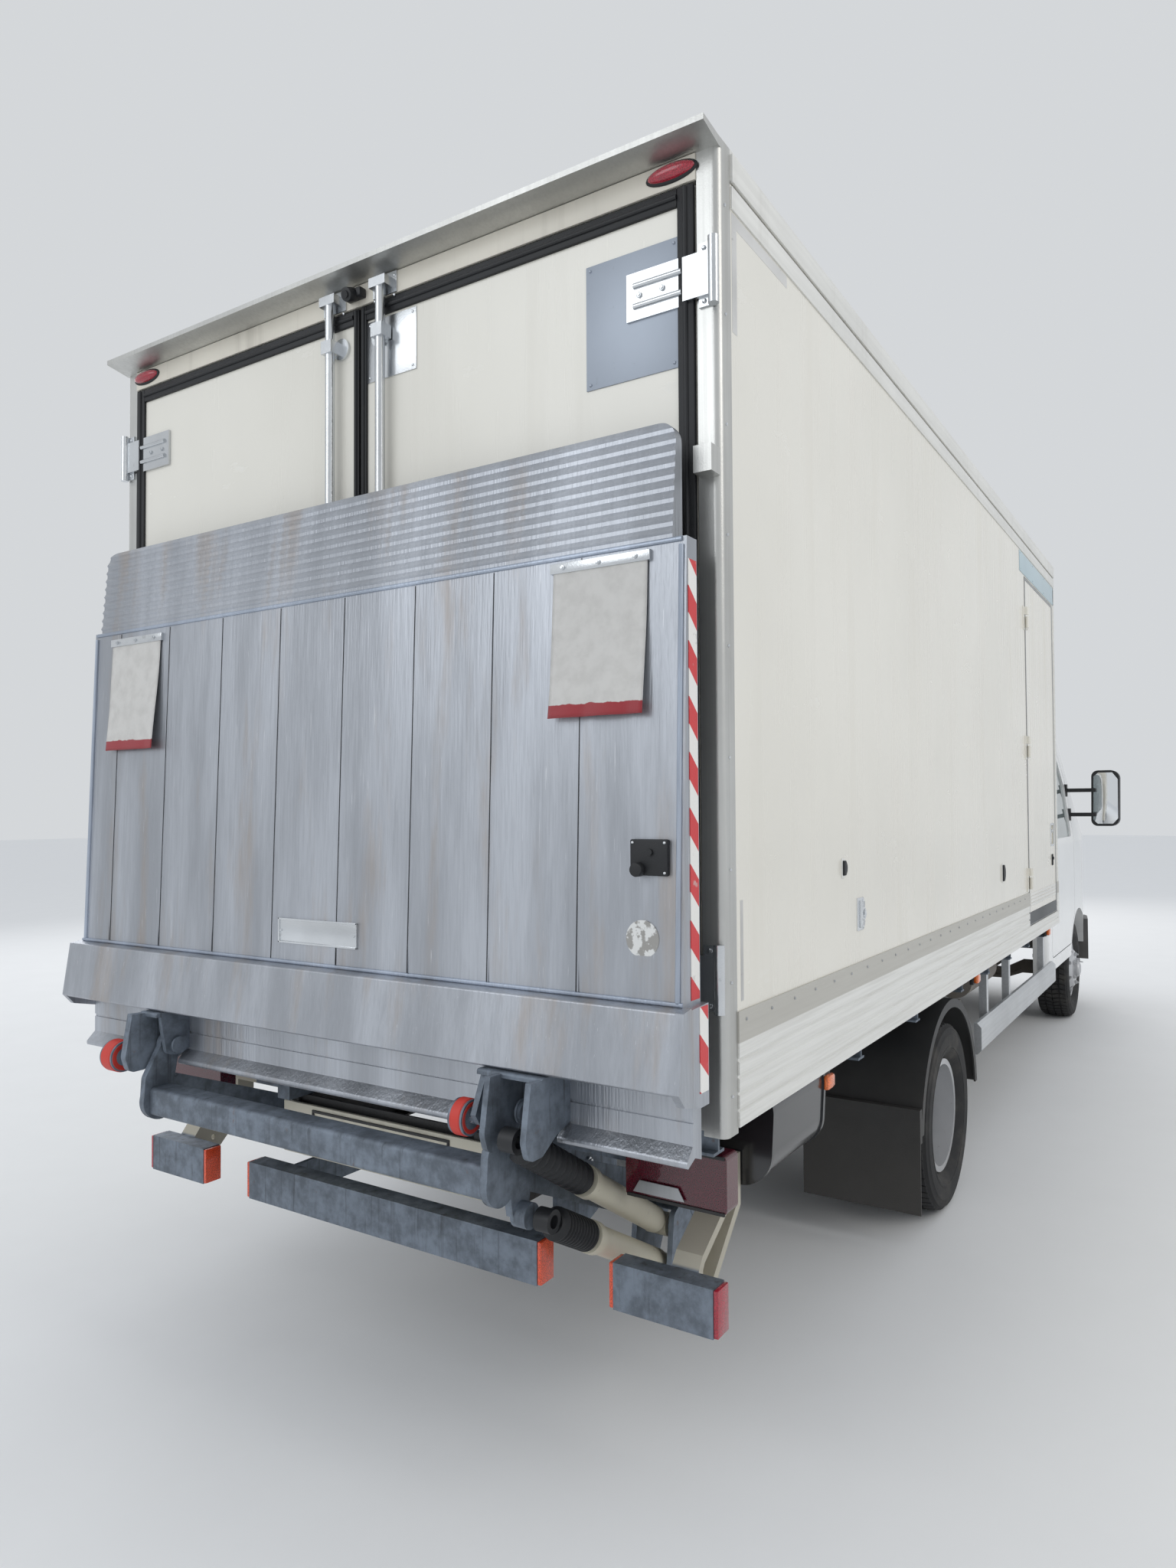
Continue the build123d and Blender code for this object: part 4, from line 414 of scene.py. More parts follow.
WHITE_PAINT = coated("cab paint", (0.76, 0.765, 0.76), 0.24, coat=0.7, cloud=0.03, dust=0.35, dust_top=0.8)
WHITE_RAIL = coated("white rail", (0.76, 0.755, 0.72), 0.35, metal=0.15, cloud=0.05, runs=0.12,
                    brushed=(2, 60, 60))
HEADER = coated("header paint", (0.70, 0.66, 0.57), 0.42, cloud=0.08, runs=0.25)
STAINLESS = coated("stainless steel", (0.60, 0.60, 0.58), 0.30, metal=0.92, cloud=0.12, runs=0.12,
                   brushed=(120, 120, 1.5), grain=0.0003)
BRIGHT_STEEL = coated("bright zinc", (0.66, 0.68, 0.70), 0.24, metal=0.95, cloud=0.15, specks=0.15,
                      grain=0.0003)
# Near-black colour is a painted dark reflection on the power pack's stainless cover; the plank joints use the
# same dark finish as their own dark colour.
DARK_REFLECTION_AND_JOINTS = coated("dark painted reflection and joints", (0.035, 0.037, 0.042), 0.22, metal=0.55, coat=0.6, cloud=0.2, dust=0.2,
                    specks=0.2)
GREY_EDGE = coated("grey moulding", (0.42, 0.43, 0.44), 0.42, metal=0.5, runs=0.15, brushed=(120, 120, 1.5))
RUBBER = coated("black rubber", (0.012, 0.013, 0.015), 0.55, cloud=0.35, specks=0.1, grain=0.0005)
PLASTIC = coated("black plastic", (0.016, 0.017, 0.019), 0.48, cloud=0.3, dust=0.15, grain=0.0004)
FRAME_PAINT = coated("frame paint", (0.018, 0.019, 0.021), 0.5, cloud=0.35, dust=0.3, specks=0.4,
                     grain=0.0012)
CAST = coated("axle casting", (0.030, 0.030, 0.031), 0.62, metal=0.3, cloud=0.4, dust=0.8, specks=0.5,
              grain=0.002)
ENGINE = coated("engine casting", (0.16, 0.165, 0.17), 0.55, metal=0.4, cloud=0.3, dust=0.4, specks=0.5,
                grain=0.002)
EXHAUST = coated("exhaust steel", (0.26, 0.24, 0.22), 0.5, metal=0.7, cloud=0.3, dust=0.5, specks=0.6,
                 grain=0.001)
RAIL_METAL = coated("guard aluminium", (0.62, 0.64, 0.66), 0.36, metal=0.75, cloud=0.1, dust=0.3,
                    brushed=(2, 90, 90))
RIM_PAINT = coated("rim paint", (0.60, 0.61, 0.63), 0.34, metal=0.55, cloud=0.12, dust=0.25,
                   dust_top=0.8, specks=0.25)
LINING = coated("floor resin", (0.30, 0.31, 0.32), 0.6, cloud=0.15, specks=0.3, grain=0.0015,
                grain_size=180)
UNIT_SKIN = coated("unit skin", (0.78, 0.78, 0.765), 0.3, coat=0.4, cloud=0.03, runs=0.08)
BUMPER = coated("bumper plastic", (0.055, 0.057, 0.062), 0.52, cloud=0.15, dust=0.4, grain=0.0006)
DASH = coated("dash plastic", (0.050, 0.052, 0.058), 0.6, cloud=0.1, grain=0.0008, grain_size=320)
CREAM_PAINT = coated("cream paint", (0.62, 0.58, 0.46), 0.4, cloud=0.1, specks=0.35, dust=0.2)
CHROME = coated("lamp bowl", (0.78, 0.78, 0.80), 0.08, metal=1.0, cloud=0.05)
LIFT_ROD = polished_rod("lift rod", LIFT_EYE)
TILT_ROD = polished_rod("tilt rod", TILT_EYE)
MIRROR = coated("mirror glass", (0.82, 0.84, 0.86), 0.03, metal=1.0, cloud=0.02)
PLATE_BLUE = coated("blue grey plate", (0.36, 0.40, 0.46), 0.42, metal=0.35, cloud=0.05, specks=0.12)
PLATE_CREAM = coated("blank plate", (0.72, 0.68, 0.56), 0.38, cloud=0.06, runs=0.2, dust=0.25)
PALE_PLATE = coated("pale blue plate", (0.46, 0.56, 0.60), 0.4, cloud=0.05)
GHOST = coated("old glue line", (0.56, 0.555, 0.54), 0.6, cloud=0.2, specks=0.3)
RED_PLASTIC = coated("red roller", (0.62, 0.045, 0.030), 0.5, cloud=0.15, specks=0.35, dust=0.15)
EDGE_RUBBER = coated("door lip rubber", (0.10, 0.105, 0.11), 0.6, cloud=0.2)

FINISHES = {
    PANEL: ("box_side_left", "box_side_right", "rear_door_left", "rear_door_right", "side_door"),
    WHITE_RAIL: ("box_roof",),
    HEADER: ("box_front_wall",),
    STAINLESS: ("rear_frame",),
    BRIGHT_STEEL: ("rear_door_gear",),
    SKIRT: ("skirt_rails",),
    LINING: ("box_floor",),
    UNIT_SKIN: ("refrigeration_unit",),
    WHITE_PAINT: ("cab_shell", "front_wings", "bonnet", "cab_door_left", "cab_door_right"),
    GLASS: ("windscreen", "door_glass_left", "door_glass_right"),
    LAMP_CLEAR: ("headlamps",),
    BUMPER: ("front_bumper", "cab_floor"),
    DASH: ("dashboard",),
    PLASTIC: ("mudguards", "fuel_tank", "mirror_left", "mirror_right", "steering_wheel"),
    FRAME_PAINT: ("chassis_frame",),
    ZINC: ("subframe", "lift_arms", "platform_brackets", "arm_pins"),
    LIFT_FRAME: ("lift_frame",),
    CAST: ("rear_axle", "front_axle", "leaf_springs", "knuckle_left", "knuckle_right"),
    ENGINE: ("engine_and_shaft",),
    EXHAUST: ("exhaust",),
    RAIL_METAL: ("side_guards",),
    DARK_REFLECTION_AND_JOINTS: ("power_pack",),
    RIM_PAINT: ("front_rim_left", "front_rim_right", "rear_rims_left", "rear_rims_right"),
    DECK: ("platform_deck",),
    CREAM_PAINT: ("lift_barrel", "tilt_barrel"),
    LIFT_ROD: ("lift_rod",),
    TILT_ROD: ("tilt_rod",),
    DARK_RED_LENS: ("tail_lamps",),
}
for finish, names in FINISHES.items():
    for name in names:
        slots = NODES[name].data.materials
        slots.clear()
        slots.append(finish.material)


# Modelling helpers: each adds one closed form to a mesh under way


def once_each(items):
    """The items without repeats, in the order met."""
    return list(dict.fromkeys(items))


def soften(bm, verts, edge, steps=2):
    edges = once_each(e for v in verts for e in v.link_edges)
    bmesh.ops.bevel(bm, geom=edges, offset=edge, offset_type="OFFSET", affect="EDGES", segments=steps,
                    profile=0.5, material=-1, clamp_overlap=True)


def block(bm, low, high, edge=0.0):
    low, high = Vector(low), Vector(high)
    grow = Matrix.Diagonal((*(high - low), 1.0))
    made = bmesh.ops.create_cube(bm, size=1.0, matrix=Matrix.Translation((low + high) / 2) @ grow)
    if edge:
        soften(bm, made["verts"], edge)


def side_block(bm, side, near, far, edge=0.0):
    """Block on one side of the truck; the y of both corners counts out from the middle plane."""
    (x0, near_y, z0), (x1, far_y, z1) = near, far
    y0, y1 = span(side, near_y, far_y)
    block(bm, place(x0, y0, z0), place(x1, y1, z1), edge)


def rod(bm, start, end, radius, sides=24, edge=0.0):
    start, end = Vector(start), Vector(end)
    along = end - start
    turn = along.to_track_quat("Z", "Y").to_matrix().to_4x4()
    made = bmesh.ops.create_cone(bm, cap_ends=True, segments=sides, radius1=radius, radius2=radius,
                                 depth=along.length, matrix=Matrix.Translation((start + end) / 2) @ turn)
    if edge:
        faces = once_each(f for v in made["verts"] for f in v.link_faces)
        rims = once_each(e for f in faces if len(f.verts) == sides for e in f.edges)
        bmesh.ops.bevel(bm, geom=rims, offset=edge, offset_type="OFFSET", affect="EDGES", segments=2,
                        profile=0.5, material=-1, clamp_overlap=True)


def turned(bm, profile, centre, axis, steps=64, closed=True):
    """Profile of (radius, distance along the axis) spun round it."""
    centre, axis = Vector(centre), Vector(axis).normalized()
    out = axis.orthogonal().normalized()
    verts = [bm.verts.new(centre + out * radius + axis * along) for radius, along in profile]
    pairs = list(zip(verts, verts[1:]))
    if closed:
        pairs.append((verts[-1], verts[0]))
    edges = [bm.edges.new(pair) for pair in pairs]
    bmesh.ops.spin(bm, geom=verts + edges, angle=math.tau, steps=steps, axis=axis, cent=centre,
                   use_merge=True)
    bmesh.ops.remove_doubles(bm, verts=bm.verts, dist=1e-6)


def hoop(bm, centre, axis, radius, thickness, steps=48, sides=8):
    """Ring of round wire."""
    turns = [math.tau * k / sides for k in range(sides)]
    profile = [(radius + thickness * math.cos(t), thickness * math.sin(t)) for t in turns]
    turned(bm, profile, centre, axis, steps)


def cut_plate(bm, outline, start, end, edge=0.0):
    """Flat outline of points moved along start to end."""
    face = bm.faces.new([bm.verts.new(Vector(start) + Vector(p)) for p in outline])
    made = bmesh.ops.extrude_face_region(bm, geom=[face])
    top = [v for v in made["geom"] if isinstance(v, bmesh.types.BMVert)]
    bmesh.ops.translate(bm, verts=top, vec=Vector(end) - Vector(start))
    if edge:
        soften(bm, list(face.verts) + top, edge)


def dome(bm, centre, normal, radius, rise=0.45):
    """Rivet or screw head."""
    turn = Vector(normal).to_track_quat("Z", "Y").to_matrix().to_4x4()
    grow = Matrix.Diagonal((radius, radius, radius * rise * 2, 1.0))
    shape = Matrix.Translation(Vector(centre)) @ turn @ grow
    bmesh.ops.create_uvsphere(bm, u_segments=8, v_segments=5, radius=1.0, matrix=shape)


def wall_bars(bm, bars, sunk, out, edge=0.0):
    """Flat bars on the right wall, each from x0 to x1 and z0 to z1."""
    for x0, x1, z0, z1 in bars:
        block(bm, wall(x0, out, z0), wall(x1, -sunk, z1), edge)


def rear_bars(bm, x0, x1, bars, edge=0.0):
    """Flat bars that face the rear, each from y0 to y1 and z0 to z1."""
    for y0, y1, z0, z1 in bars:
        block(bm, place(x0, y0, z0), place(x1, y1, z1), edge)


def scaled_sphere(bm, centre, sizes, columns=32, rows=16):
    grow = Matrix.Diagonal((*sizes, 1.0))
    bmesh.ops.create_uvsphere(bm, u_segments=columns, v_segments=rows, radius=1.0,
                              matrix=Matrix.Translation(centre) @ grow)


def hexagon(bm, centre, normal, radius, height):
    normal = Vector(normal)
    rod(bm, Vector(centre), Vector(centre) + normal * height, radius, sides=6, edge=height * 0.08)
    rod(bm, Vector(centre) + normal * height, Vector(centre) + normal * height * 1.7, radius * 0.5, sides=10)


def piece(name, bm, finish, body="chassis", angle=35):
    """The mesh under way becomes a piece that rides on a body."""
    bmesh.ops.recalc_face_normals(bm, faces=bm.faces)
    mesh = bpy.data.meshes.new(name)
    bm.to_mesh(mesh)
    bm.free()
    mesh.materials.append(finish.material)
    mesh.shade_smooth()
    mesh.set_sharp_from_angle(angle=math.radians(angle))
    obj = bpy.data.objects.new(name, mesh)
    bpy.context.scene.collection.objects.link(obj)
    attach(obj, body)
    return obj


SIDES = (("left", 1), ("right", -1))


# Rear of the box


def door_seals():
    """Black rubber round each rear door, with a raised lip along it."""
    wide, narrow, lip = 0.041, 0.0205, 0.006
    low, high = DOOR_LOW, DOOR_HIGH
    inner, outer = 0.004, DOOR_EDGE
    bm = bmesh.new()
    for side in (1, -1):
        bars = ((inner, inner + narrow, low, high), (outer - wide, outer, low, high),
                (inner + narrow, outer - wide, low, low + wide),
                (inner + narrow, outer - wide, high - wide, high))
        for y0, y1, z0, z1 in bars:
            near, far = span(side, y0, y1)
            block(bm, place(-0.006, near, z0), place(0.0075, far, z1), 0.003)
            if z1 - z0 > y1 - y0:
                middle = (near + far) / 2
                rod(bm, place(-0.006, middle, z0 + 0.004), place(-0.006, middle, z1 - 0.004), lip, sides=10)
            else:
                middle = (z0 + z1) / 2
                rod(bm, place(-0.006, near, middle), place(-0.006, far, middle), lip, sides=10)
    return piece("door_seals", bm, RUBBER)


def header_parts():
    """Painted board above the doors, marker lamps and the small camera at its middle."""
    bm = bmesh.new()
    half = BOX_HALF - 0.056
    block(bm, place(-0.004, -half, DOOR_HIGH + 0.007), place(0.001, half, BOX_TOP - 0.023), 0.001)
    piece("header_board", bm, HEADER)
    lens, bezel = bmesh.new(), bmesh.new()
    for side in (1, -1):
        scaled_sphere(lens, place(-0.008, side * 0.985, 3.038), (0.016, 0.060, 0.0185))
        scaled_sphere(bezel, place(-0.005, side * 0.985, 3.038), (0.008, 0.067, 0.024), rows=12)
    piece("marker_lamps", lens, RED_LENS)
    piece("marker_bezels", bezel, RUBBER)
    bm = bmesh.new()
    block(bm, place(-0.030, -0.024, 3.020), place(-0.004, 0.040, 3.046), 0.004)
    rod(bm, place(-0.052, 0.008, 3.020), place(-0.020, 0.008, 3.032), 0.019, edge=0.003)
    rod(bm, place(-0.056, 0.008, 3.0185), place(-0.050, 0.008, 3.021), 0.010, sides=16)
    piece("rear_camera", bm, PLASTIC)


def rear_plates():
    """Blank repair plates on the doors, each held by small rivets."""
    plates = (("door_plate_corner", PLATE_BLUE, -1.000, -0.750, 2.590, 2.890),
              ("door_plate_small", BRIGHT_STEEL, -0.206, -0.024, 2.780, 2.950))
    for name, finish, y0, y1, z0, z1 in plates:
        bm = bmesh.new()
        block(bm, place(-0.001, y0, z0), place(0.0025, y1, z1), 0.0008)
        for y in (y0 + 0.012, y1 - 0.012):
            for z in (z0 + 0.012, z1 - 0.012):
                dome(bm, place(-0.001, y, z), (-1, 0, 0), 0.004)
        piece(name, bm, finish)


def hinge_details():
    """Bolts on the rear hinge straps and keepers."""
    bm = bmesh.new()
    for z in (2.780, 1.220):
        for side in (1, -1):
            for y in (0.900, 0.960):
                hexagon(bm, place(-0.006, side * y, z), (-1, 0, 0), 0.007, 0.004)
            for dz in (-0.060, 0.060):
                dome(bm, place(-0.006, side * 1.066, z + dz), (-1, 0, 0), 0.006)
    for y in (0.097, -0.097):
        for dz in (0.006, -0.048):
            for dy in (-0.036, 0.036):
                dome(bm, place(-0.008, y + dy, BOX_TOP - 0.042 + dz), (-1, 0, 0), 0.0045)
    return piece("rear_bolts", bm, BRIGHT_STEEL)


def post_screws():
    bm = bmesh.new()
    for side in (1, -1):
        for k in range(9):
            z = 0.96 + 0.248 * k
            dome(bm, place(0.030, side * BOX_HALF, z), (0, side, 0), 0.0042)
    return piece("post_screws", bm, BRIGHT_STEEL)


# Sides of the box


def side_rails():
    """Two-step moulding along the roof edge and the corner mouldings at the front."""
    bm = bmesh.new()
    for side in (1, -1):
        bands = ((2.950, 3.004, 0.0045), (3.012, 3.078, 0.0065))
        inner = BOX_HALF - SUNK
        for z0, z1, out in bands:
            side_block(bm, side, (0.062, inner, z0), (BOX_LENGTH - 0.085, BOX_HALF + out, z1), 0.002)
        side_block(bm, side, (BOX_LENGTH - 0.130, inner, BOX_BOTTOM + 0.003),
                   (BOX_LENGTH - 0.084, BOX_HALF + 0.003, 2.948), 0.001)
    return piece("side_rails", bm, WHITE_RAIL)


def strip_rivets():
    bm = bmesh.new()
    pitch = 0.147
    for side in (1, -1):
        count = int((BOX_LENGTH - 0.25) / pitch)
        for k in range(count):
            x = 0.10 + k * pitch
            if side < 0 and SIDE_DOOR[0] - 0.03 < x < SIDE_DOOR[1] + 0.03:
                continue
            dome(bm, place(x, side * SKIRT_OUT, 1.118), (0, side, 0), 0.0042)
    return piece("strip_rivets", bm, GREY_EDGE)


def wall_buffers():
    """D-shaped caps and the door catch on the right wall."""
    bezel, cap = bmesh.new(), bmesh.new()
    for x, z, half in ((0.785, 1.422, 0.021), (3.080, 1.283, 0.038)):
        for mesh, grow, out in ((bezel, 0.007, 0.003), (cap, 0.0, 0.009)):
            h = half + grow
            points = [(-h * 0.62, 0, -h), (h * 0.15, 0, -h), (h * 0.62, 0, -h * 0.45), (h * 0.70, 0, 0.0),
                      (h * 0.62, 0, h * 0.45), (h * 0.15, 0, h), (-h * 0.62, 0, h)]
            cut_plate(mesh, points, wall(x, -SUNK, z), wall(x, out, z), 0.002)
    piece("wall_cap_bezels", bezel, WHITE_RAIL)
    piece("wall_caps", cap, RUBBER)
    bm = bmesh.new()
    x, z = 0.935, 1.280
    points = [(-0.034, 0, -0.048), (0.022, 0, -0.048), (0.036, 0, -0.030), (0.036, 0, 0.030),
              (0.022, 0, 0.048), (-0.034, 0, 0.048)]
    cut_plate(bm, points, wall(x, -SUNK, z), wall(x, 0.003, z), 0.001)
    hoop(bm, wall(x + 0.010, 0.006, z), (0, 1, 0.0), 0.016, 0.004, 24)
    block(bm, wall(x - 0.020, 0.010, z - 0.040), wall(x - 0.010, 0.002, z + 0.040), 0.002)
    for dz in (-0.038, 0.038):
        dome(bm, wall(x + 0.014, 0.003, z + dz), (0, -1, 0), 0.005)
    piece("door_catch", bm, BRIGHT_STEEL)


def glue_lines():
    """Grey outlines that old plates have left on the right wall."""
    bm = bmesh.new()
    lines = ((0.066, 0.400, 2.915, 2.946), (0.066, 0.092, 2.670, 2.915), (0.080, 0.094, 1.160, 1.385))
    wall_bars(bm, lines, SUNK, 0.0005)
    return piece("glue_lines", bm, GHOST)


def side_door_parts():
    """Seal, lip and sill of the side door, its lock, and the plate above it."""
    x0, x1, z0, z1 = SIDE_DOOR
    gap = 0.006
    bm = bmesh.new()
    seals = ((x0 - gap, x0 - 0.001, z0 - gap, z1 + gap), (x1 + 0.001, x1 + gap, z0 - gap, z1 + gap),
             (x0, x1, z1 + 0.001, z1 + gap), (x0, x1, z0 - gap, z0 - 0.001))
    wall_bars(bm, seals, 0.020, -0.004, 0.001)
    piece("side_door_seal", bm, RUBBER)
    bm = bmesh.new()
    wall_bars(bm, ((x0 + 0.010, x1 - 0.010, z0 + 0.004, z0 + 0.066),), SUNK, 0.0025, 0.001)
    piece("side_door_kick_strip", bm, EDGE_RUBBER, "side_door")
    bm = bmesh.new()
    ribs = [(x0 + 0.030, x1 - 0.030, z, z + 0.012) for z in (z0 + 0.100, z0 + 0.118, z0 + 0.136, z0 + 0.154)]
    wall_bars(bm, ribs, SUNK, 0.003, 0.001)
    piece("side_door_ribs", bm, WHITE_RAIL, "side_door")
    bm = bmesh.new()
    edge = 0.010
    edges = ((x0, x0 + edge, z0, z1), (x1 - edge, x1, z0, z1), (x0 + edge, x1 - edge, z1 - edge, z1),
             (x0 + edge, x1 - edge, z0, z0 + edge * 0.3))
    wall_bars(bm, edges, SUNK, 0.003, 0.001)
    piece("side_door_edge", bm, GREY_EDGE, "side_door")
    bm = bmesh.new()
    frame_bars = ((x1 - 0.185, x1 - 0.174, 1.362, 1.498), (x1 - 0.076, x1 - 0.065, 1.362, 1.498),
                  (x1 - 0.174, x1 - 0.076, 1.362, 1.373), (x1 - 0.174, x1 - 0.076, 1.487, 1.498))
    wall_bars(bm, frame_bars, SUNK, 0.004, 0.001)
    rod(bm, wall(x1 - 0.125, 0.004, 1.452), wall(x1 - 0.125, -0.010, 1.452), 0.011, edge=0.001)
    piece("side_door_handle_frame", bm, BRIGHT_STEEL, "side_door")
    bm = bmesh.new()
    block(bm, wall(x1 - 0.150, 0.006, 1.248), wall(x1 - 0.118, -SUNK, 1.314), 0.003)
    rod(bm, wall(x1 - 0.134, 0.011, 1.290), wall(x1 - 0.134, 0.004, 1.290), 0.009, edge=0.001)
    piece("side_door_lock", bm, RUBBER, "side_door")
    bm = bmesh.new()
    block(bm, wall(3.640, 0.003, 2.836), wall(4.770, -SUNK, 2.944), 0.001)
    for x in (3.66, 4.03, 4.40, 4.75):
        for z in (2.848, 2.932):
            dome(bm, wall(x, 0.003, z), (0, -1, 0), 0.004)
    piece("plate_above_side_door", bm, PALE_PLATE)


def side_lamps():
    """Orange side markers under the skirt, on small brackets."""
    lens, foot = bmesh.new(), bmesh.new()
    for side in (1, -1):
        for x, z in ((0.770, 0.820), (2.700, 0.836), (4.700, 0.836)):
            side_block(lens, side, (x - 0.030, 1.046, z - 0.020), (x + 0.030, 1.066, z + 0.020), 0.008)
            side_block(foot, side, (x - 0.036, 1.030, z - 0.026), (x + 0.036, 1.048, z + 0.026), 0.004)
            side_block(foot, side, (x - 0.015, 1.032, z + 0.020), (x + 0.015, 1.036, BOX_BOTTOM), 0.001)
    piece("side_lamps", lens, ORANGE_LENS)
    piece("side_lamp_feet", foot, PLASTIC)


# Tail lift


def deck_parts():
    """Latch box, blank badge, worn sticker, edge tape and weld seams on the closed platform."""
    ride = "platform"
    bm = bmesh.new()
    x = deck_x(1.488)
    block(bm, place(x - 0.012, -1.043, 1.450), place(x + 0.002, -0.952, 1.527), 0.004)
    rod(bm, place(x - 0.030, -0.975, 1.463), place(x - 0.006, -0.975, 1.463), 0.015, edge=0.003)
    rod(bm, place(x - 0.018, -1.002, 1.500), place(x - 0.010, -1.002, 1.500), 0.007, sides=16)
    piece("latch_box", bm, RUBBER, ride)
    bm = bmesh.new()
    for y in (-1.036, -0.959):
        for z in (1.457, 1.520):
            dome(bm, place(x - 0.012, y, z), (-1, 0, 0), 0.0035)
    piece("latch_screws", bm, BRIGHT_STEEL, ride)
    bm = bmesh.new()
    x = deck_x(1.269)
    block(bm, place(x - 0.003, -0.142, 1.236), place(x + 0.002, 0.155, 1.303), 0.002)
    rim = 0.005
    rims = ((-0.142, 0.155, 1.298, 1.303), (-0.142, 0.155, 1.236, 1.241), (-0.142, -0.137, 1.236, 1.303),
            (0.150, 0.155, 1.236, 1.303))
    rear_bars(bm, x - rim, x - 0.001, rims, 0.001)
    for y in (-0.132, 0.145):
        dome(bm, place(x - 0.003, y, 1.2695), (-1, 0, 0), 0.004)
    piece("blank_badge", bm, BRIGHT_STEEL, ride)
    bm = bmesh.new()
    x = deck_x(1.316)
    rod(bm, place(x - 0.0012, -0.979, 1.316), place(x + 0.001, -0.979, 1.316), 0.040, sides=40)
    piece("worn_sticker", bm, STICKER, ride)
    bm = bmesh.new()
    for side in (-1, 1):
        side_block(bm, side, (-0.118, PLATFORM_HALF - 0.0005, 1.190), (-0.080, PLATFORM_HALF + 0.0015, 2.120))
    block(bm, place(-0.118, -1.0965, 1.000), place(-0.080, -1.0945, 1.178))
    piece("edge_tape", bm, TAPE, ride)
    bm = bmesh.new()
    for side in (-1, 1):
        start = place(deck_x(1.19) - 0.001, side * (PLATFORM_HALF - 0.012), 1.190)
        end = place(deck_x(2.15) - 0.001, side * (PLATFORM_HALF - 0.012), 2.150)
        rod(bm, start, end, 0.006, sides=10)
    x, half = deck_x(2.16), PLATFORM_HALF - 0.01
    rod(bm, place(x, -half, 2.163), place(x, half, 2.163), 0.006, sides=10)
    rod(bm, place(-0.156, -PLATFORM_HALF, 1.186), place(-0.156, PLATFORM_HALF, 1.186), 0.005, sides=10)
    piece("deck_welds", bm, FLAP, ride)
    bm = bmesh.new()
    low, high = 1.190, 2.155
    for k in range(8):
        y = PLANK_JOINT + k * PLANK_PITCH
        rod(bm, place(deck_x(low), y, low), place(deck_x(high), y, high), PLANK_GAP / 2, sides=6)
    piece("plank_joints", bm, DARK_REFLECTION_AND_JOINTS, ride)


def flags():
    """Two cloth warning flags that hang from clamped strips on the platform."""
    width, drop = 0.245, 0.345
    columns, rows = 24, 34
    for name, middle, top, sway in (("flag_left", 0.846, 2.130, 1.0), ("flag_right", -0.862, 2.140, -1.0)):
        bm = bmesh.new()
        made = bmesh.ops.create_grid(bm, x_segments=columns, y_segments=rows, size=0.5, calc_uvs=True)
        layer = bm.loops.layers.uv.active or bm.loops.layers.uv.new("UVMap")
        for face in bm.faces:
            for loop in face.loops:
                loop[layer].uv = (loop.vert.co.x + 0.5, loop.vert.co.y + 0.5)
        for v in made["verts"]:
            u, w = v.co.x, 0.5 - v.co.y
            z = top - drop * w
            curl = 0.006 * math.sin(5.2 * u + sway) * w + 0.004 * math.sin(9.0 * u * sway + 4.0 * w) * w
            lift = 0.005 + 0.012 * w * w
            v.co = place(deck_x(z) - lift - abs(curl), middle + u * width, z)
        cloth = piece(name, bm, FLAG, "platform", angle=80)
        skin = cloth.modifiers.new("thickness", "SOLIDIFY")
        skin.thickness = 0.0016
        skin.offset = 0
        bm = bmesh.new()
        x = deck_x(top)
        reach = width / 2 + 0.008
        low, high = top - 0.014, top + 0.010
        block(bm, place(x - 0.010, middle - reach, low), place(x + 0.002, middle + reach, high), 0.002)
        for dy in (-0.095, 0.0, 0.095):
            hexagon(bm, place(x - 0.010, middle + dy, top - 0.002), (-1, 0, 0), 0.006, 0.004)
        strip = piece(name + "_strip", bm, BRIGHT_STEEL, "platform")


def rollers():
    """Red roller tyres over the steel wheels of the platform brackets."""
    for name, y0, y1, radius, x, z in (("roller_left", 0.700, 0.755, 0.0445, -0.252, 0.879),
                                       ("roller_right", -0.578, -0.538, 0.0405, -0.226, 0.897)):
        bm = bmesh.new()
        half = (y1 - y0) / 2
        profile = [(0.026, -half), (radius - 0.006, -half - 0.001), (radius + 0.0015, -half + 0.008),
                   (radius + 0.0015, half - 0.008), (radius - 0.006, half + 0.001), (0.026, half)]
        turned(bm, profile, place(x, (y0 + y1) / 2, z), (0, 1, 0), 48)
        piece(name, bm, RED_PLASTIC, "platform")
        bm = bmesh.new()
        for side in (-1, 1):
            centre = place(x, (y0 + y1) / 2 + side * (half + 0.001), z)
            hexagon(bm, centre, (0, side, 0), 0.013, 0.006)
        piece(name + "_nuts", bm, BRIGHT_STEEL, "platform")


def bellows(name, body, frame_eye, far_eye, barrel_length, flat_y=None):
    """Rubber boot folded over the rod, from its eye to the gland of the barrel.

    It is flattened at flat_y, where it passes the end of the arm's pin.
    """
    start, end = place(far_eye[0], CYLINDER_Y, far_eye[1]), place(frame_eye[0], CYLINDER_Y, frame_eye[1])
    along = (end - start).normalized()
    length = (end - start).length - barrel_length - 0.034
    folds = 11
    pitch = (length - 0.012) / folds
    profile = [(0.020, 0.0), (0.024, 0.0)]
    for k in range(folds):
        low = 0.006 + k * pitch
        profile += [(0.027, low), (0.038, low + pitch * 0.35), (0.038, low + pitch * 0.65)]
    profile += [(0.027, length - 0.006), (0.030, length), (0.020, length)]
    bm = bmesh.new()
    turned(bm, profile, start + along * 0.030, along, 40)
    if flat_y is not None:
        for v in bm.verts:
            v.co.y = min(v.co.y, flat_y)
    boot = piece(name, bm, RUBBER, body, angle=50)
    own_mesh(boot)
    return boot


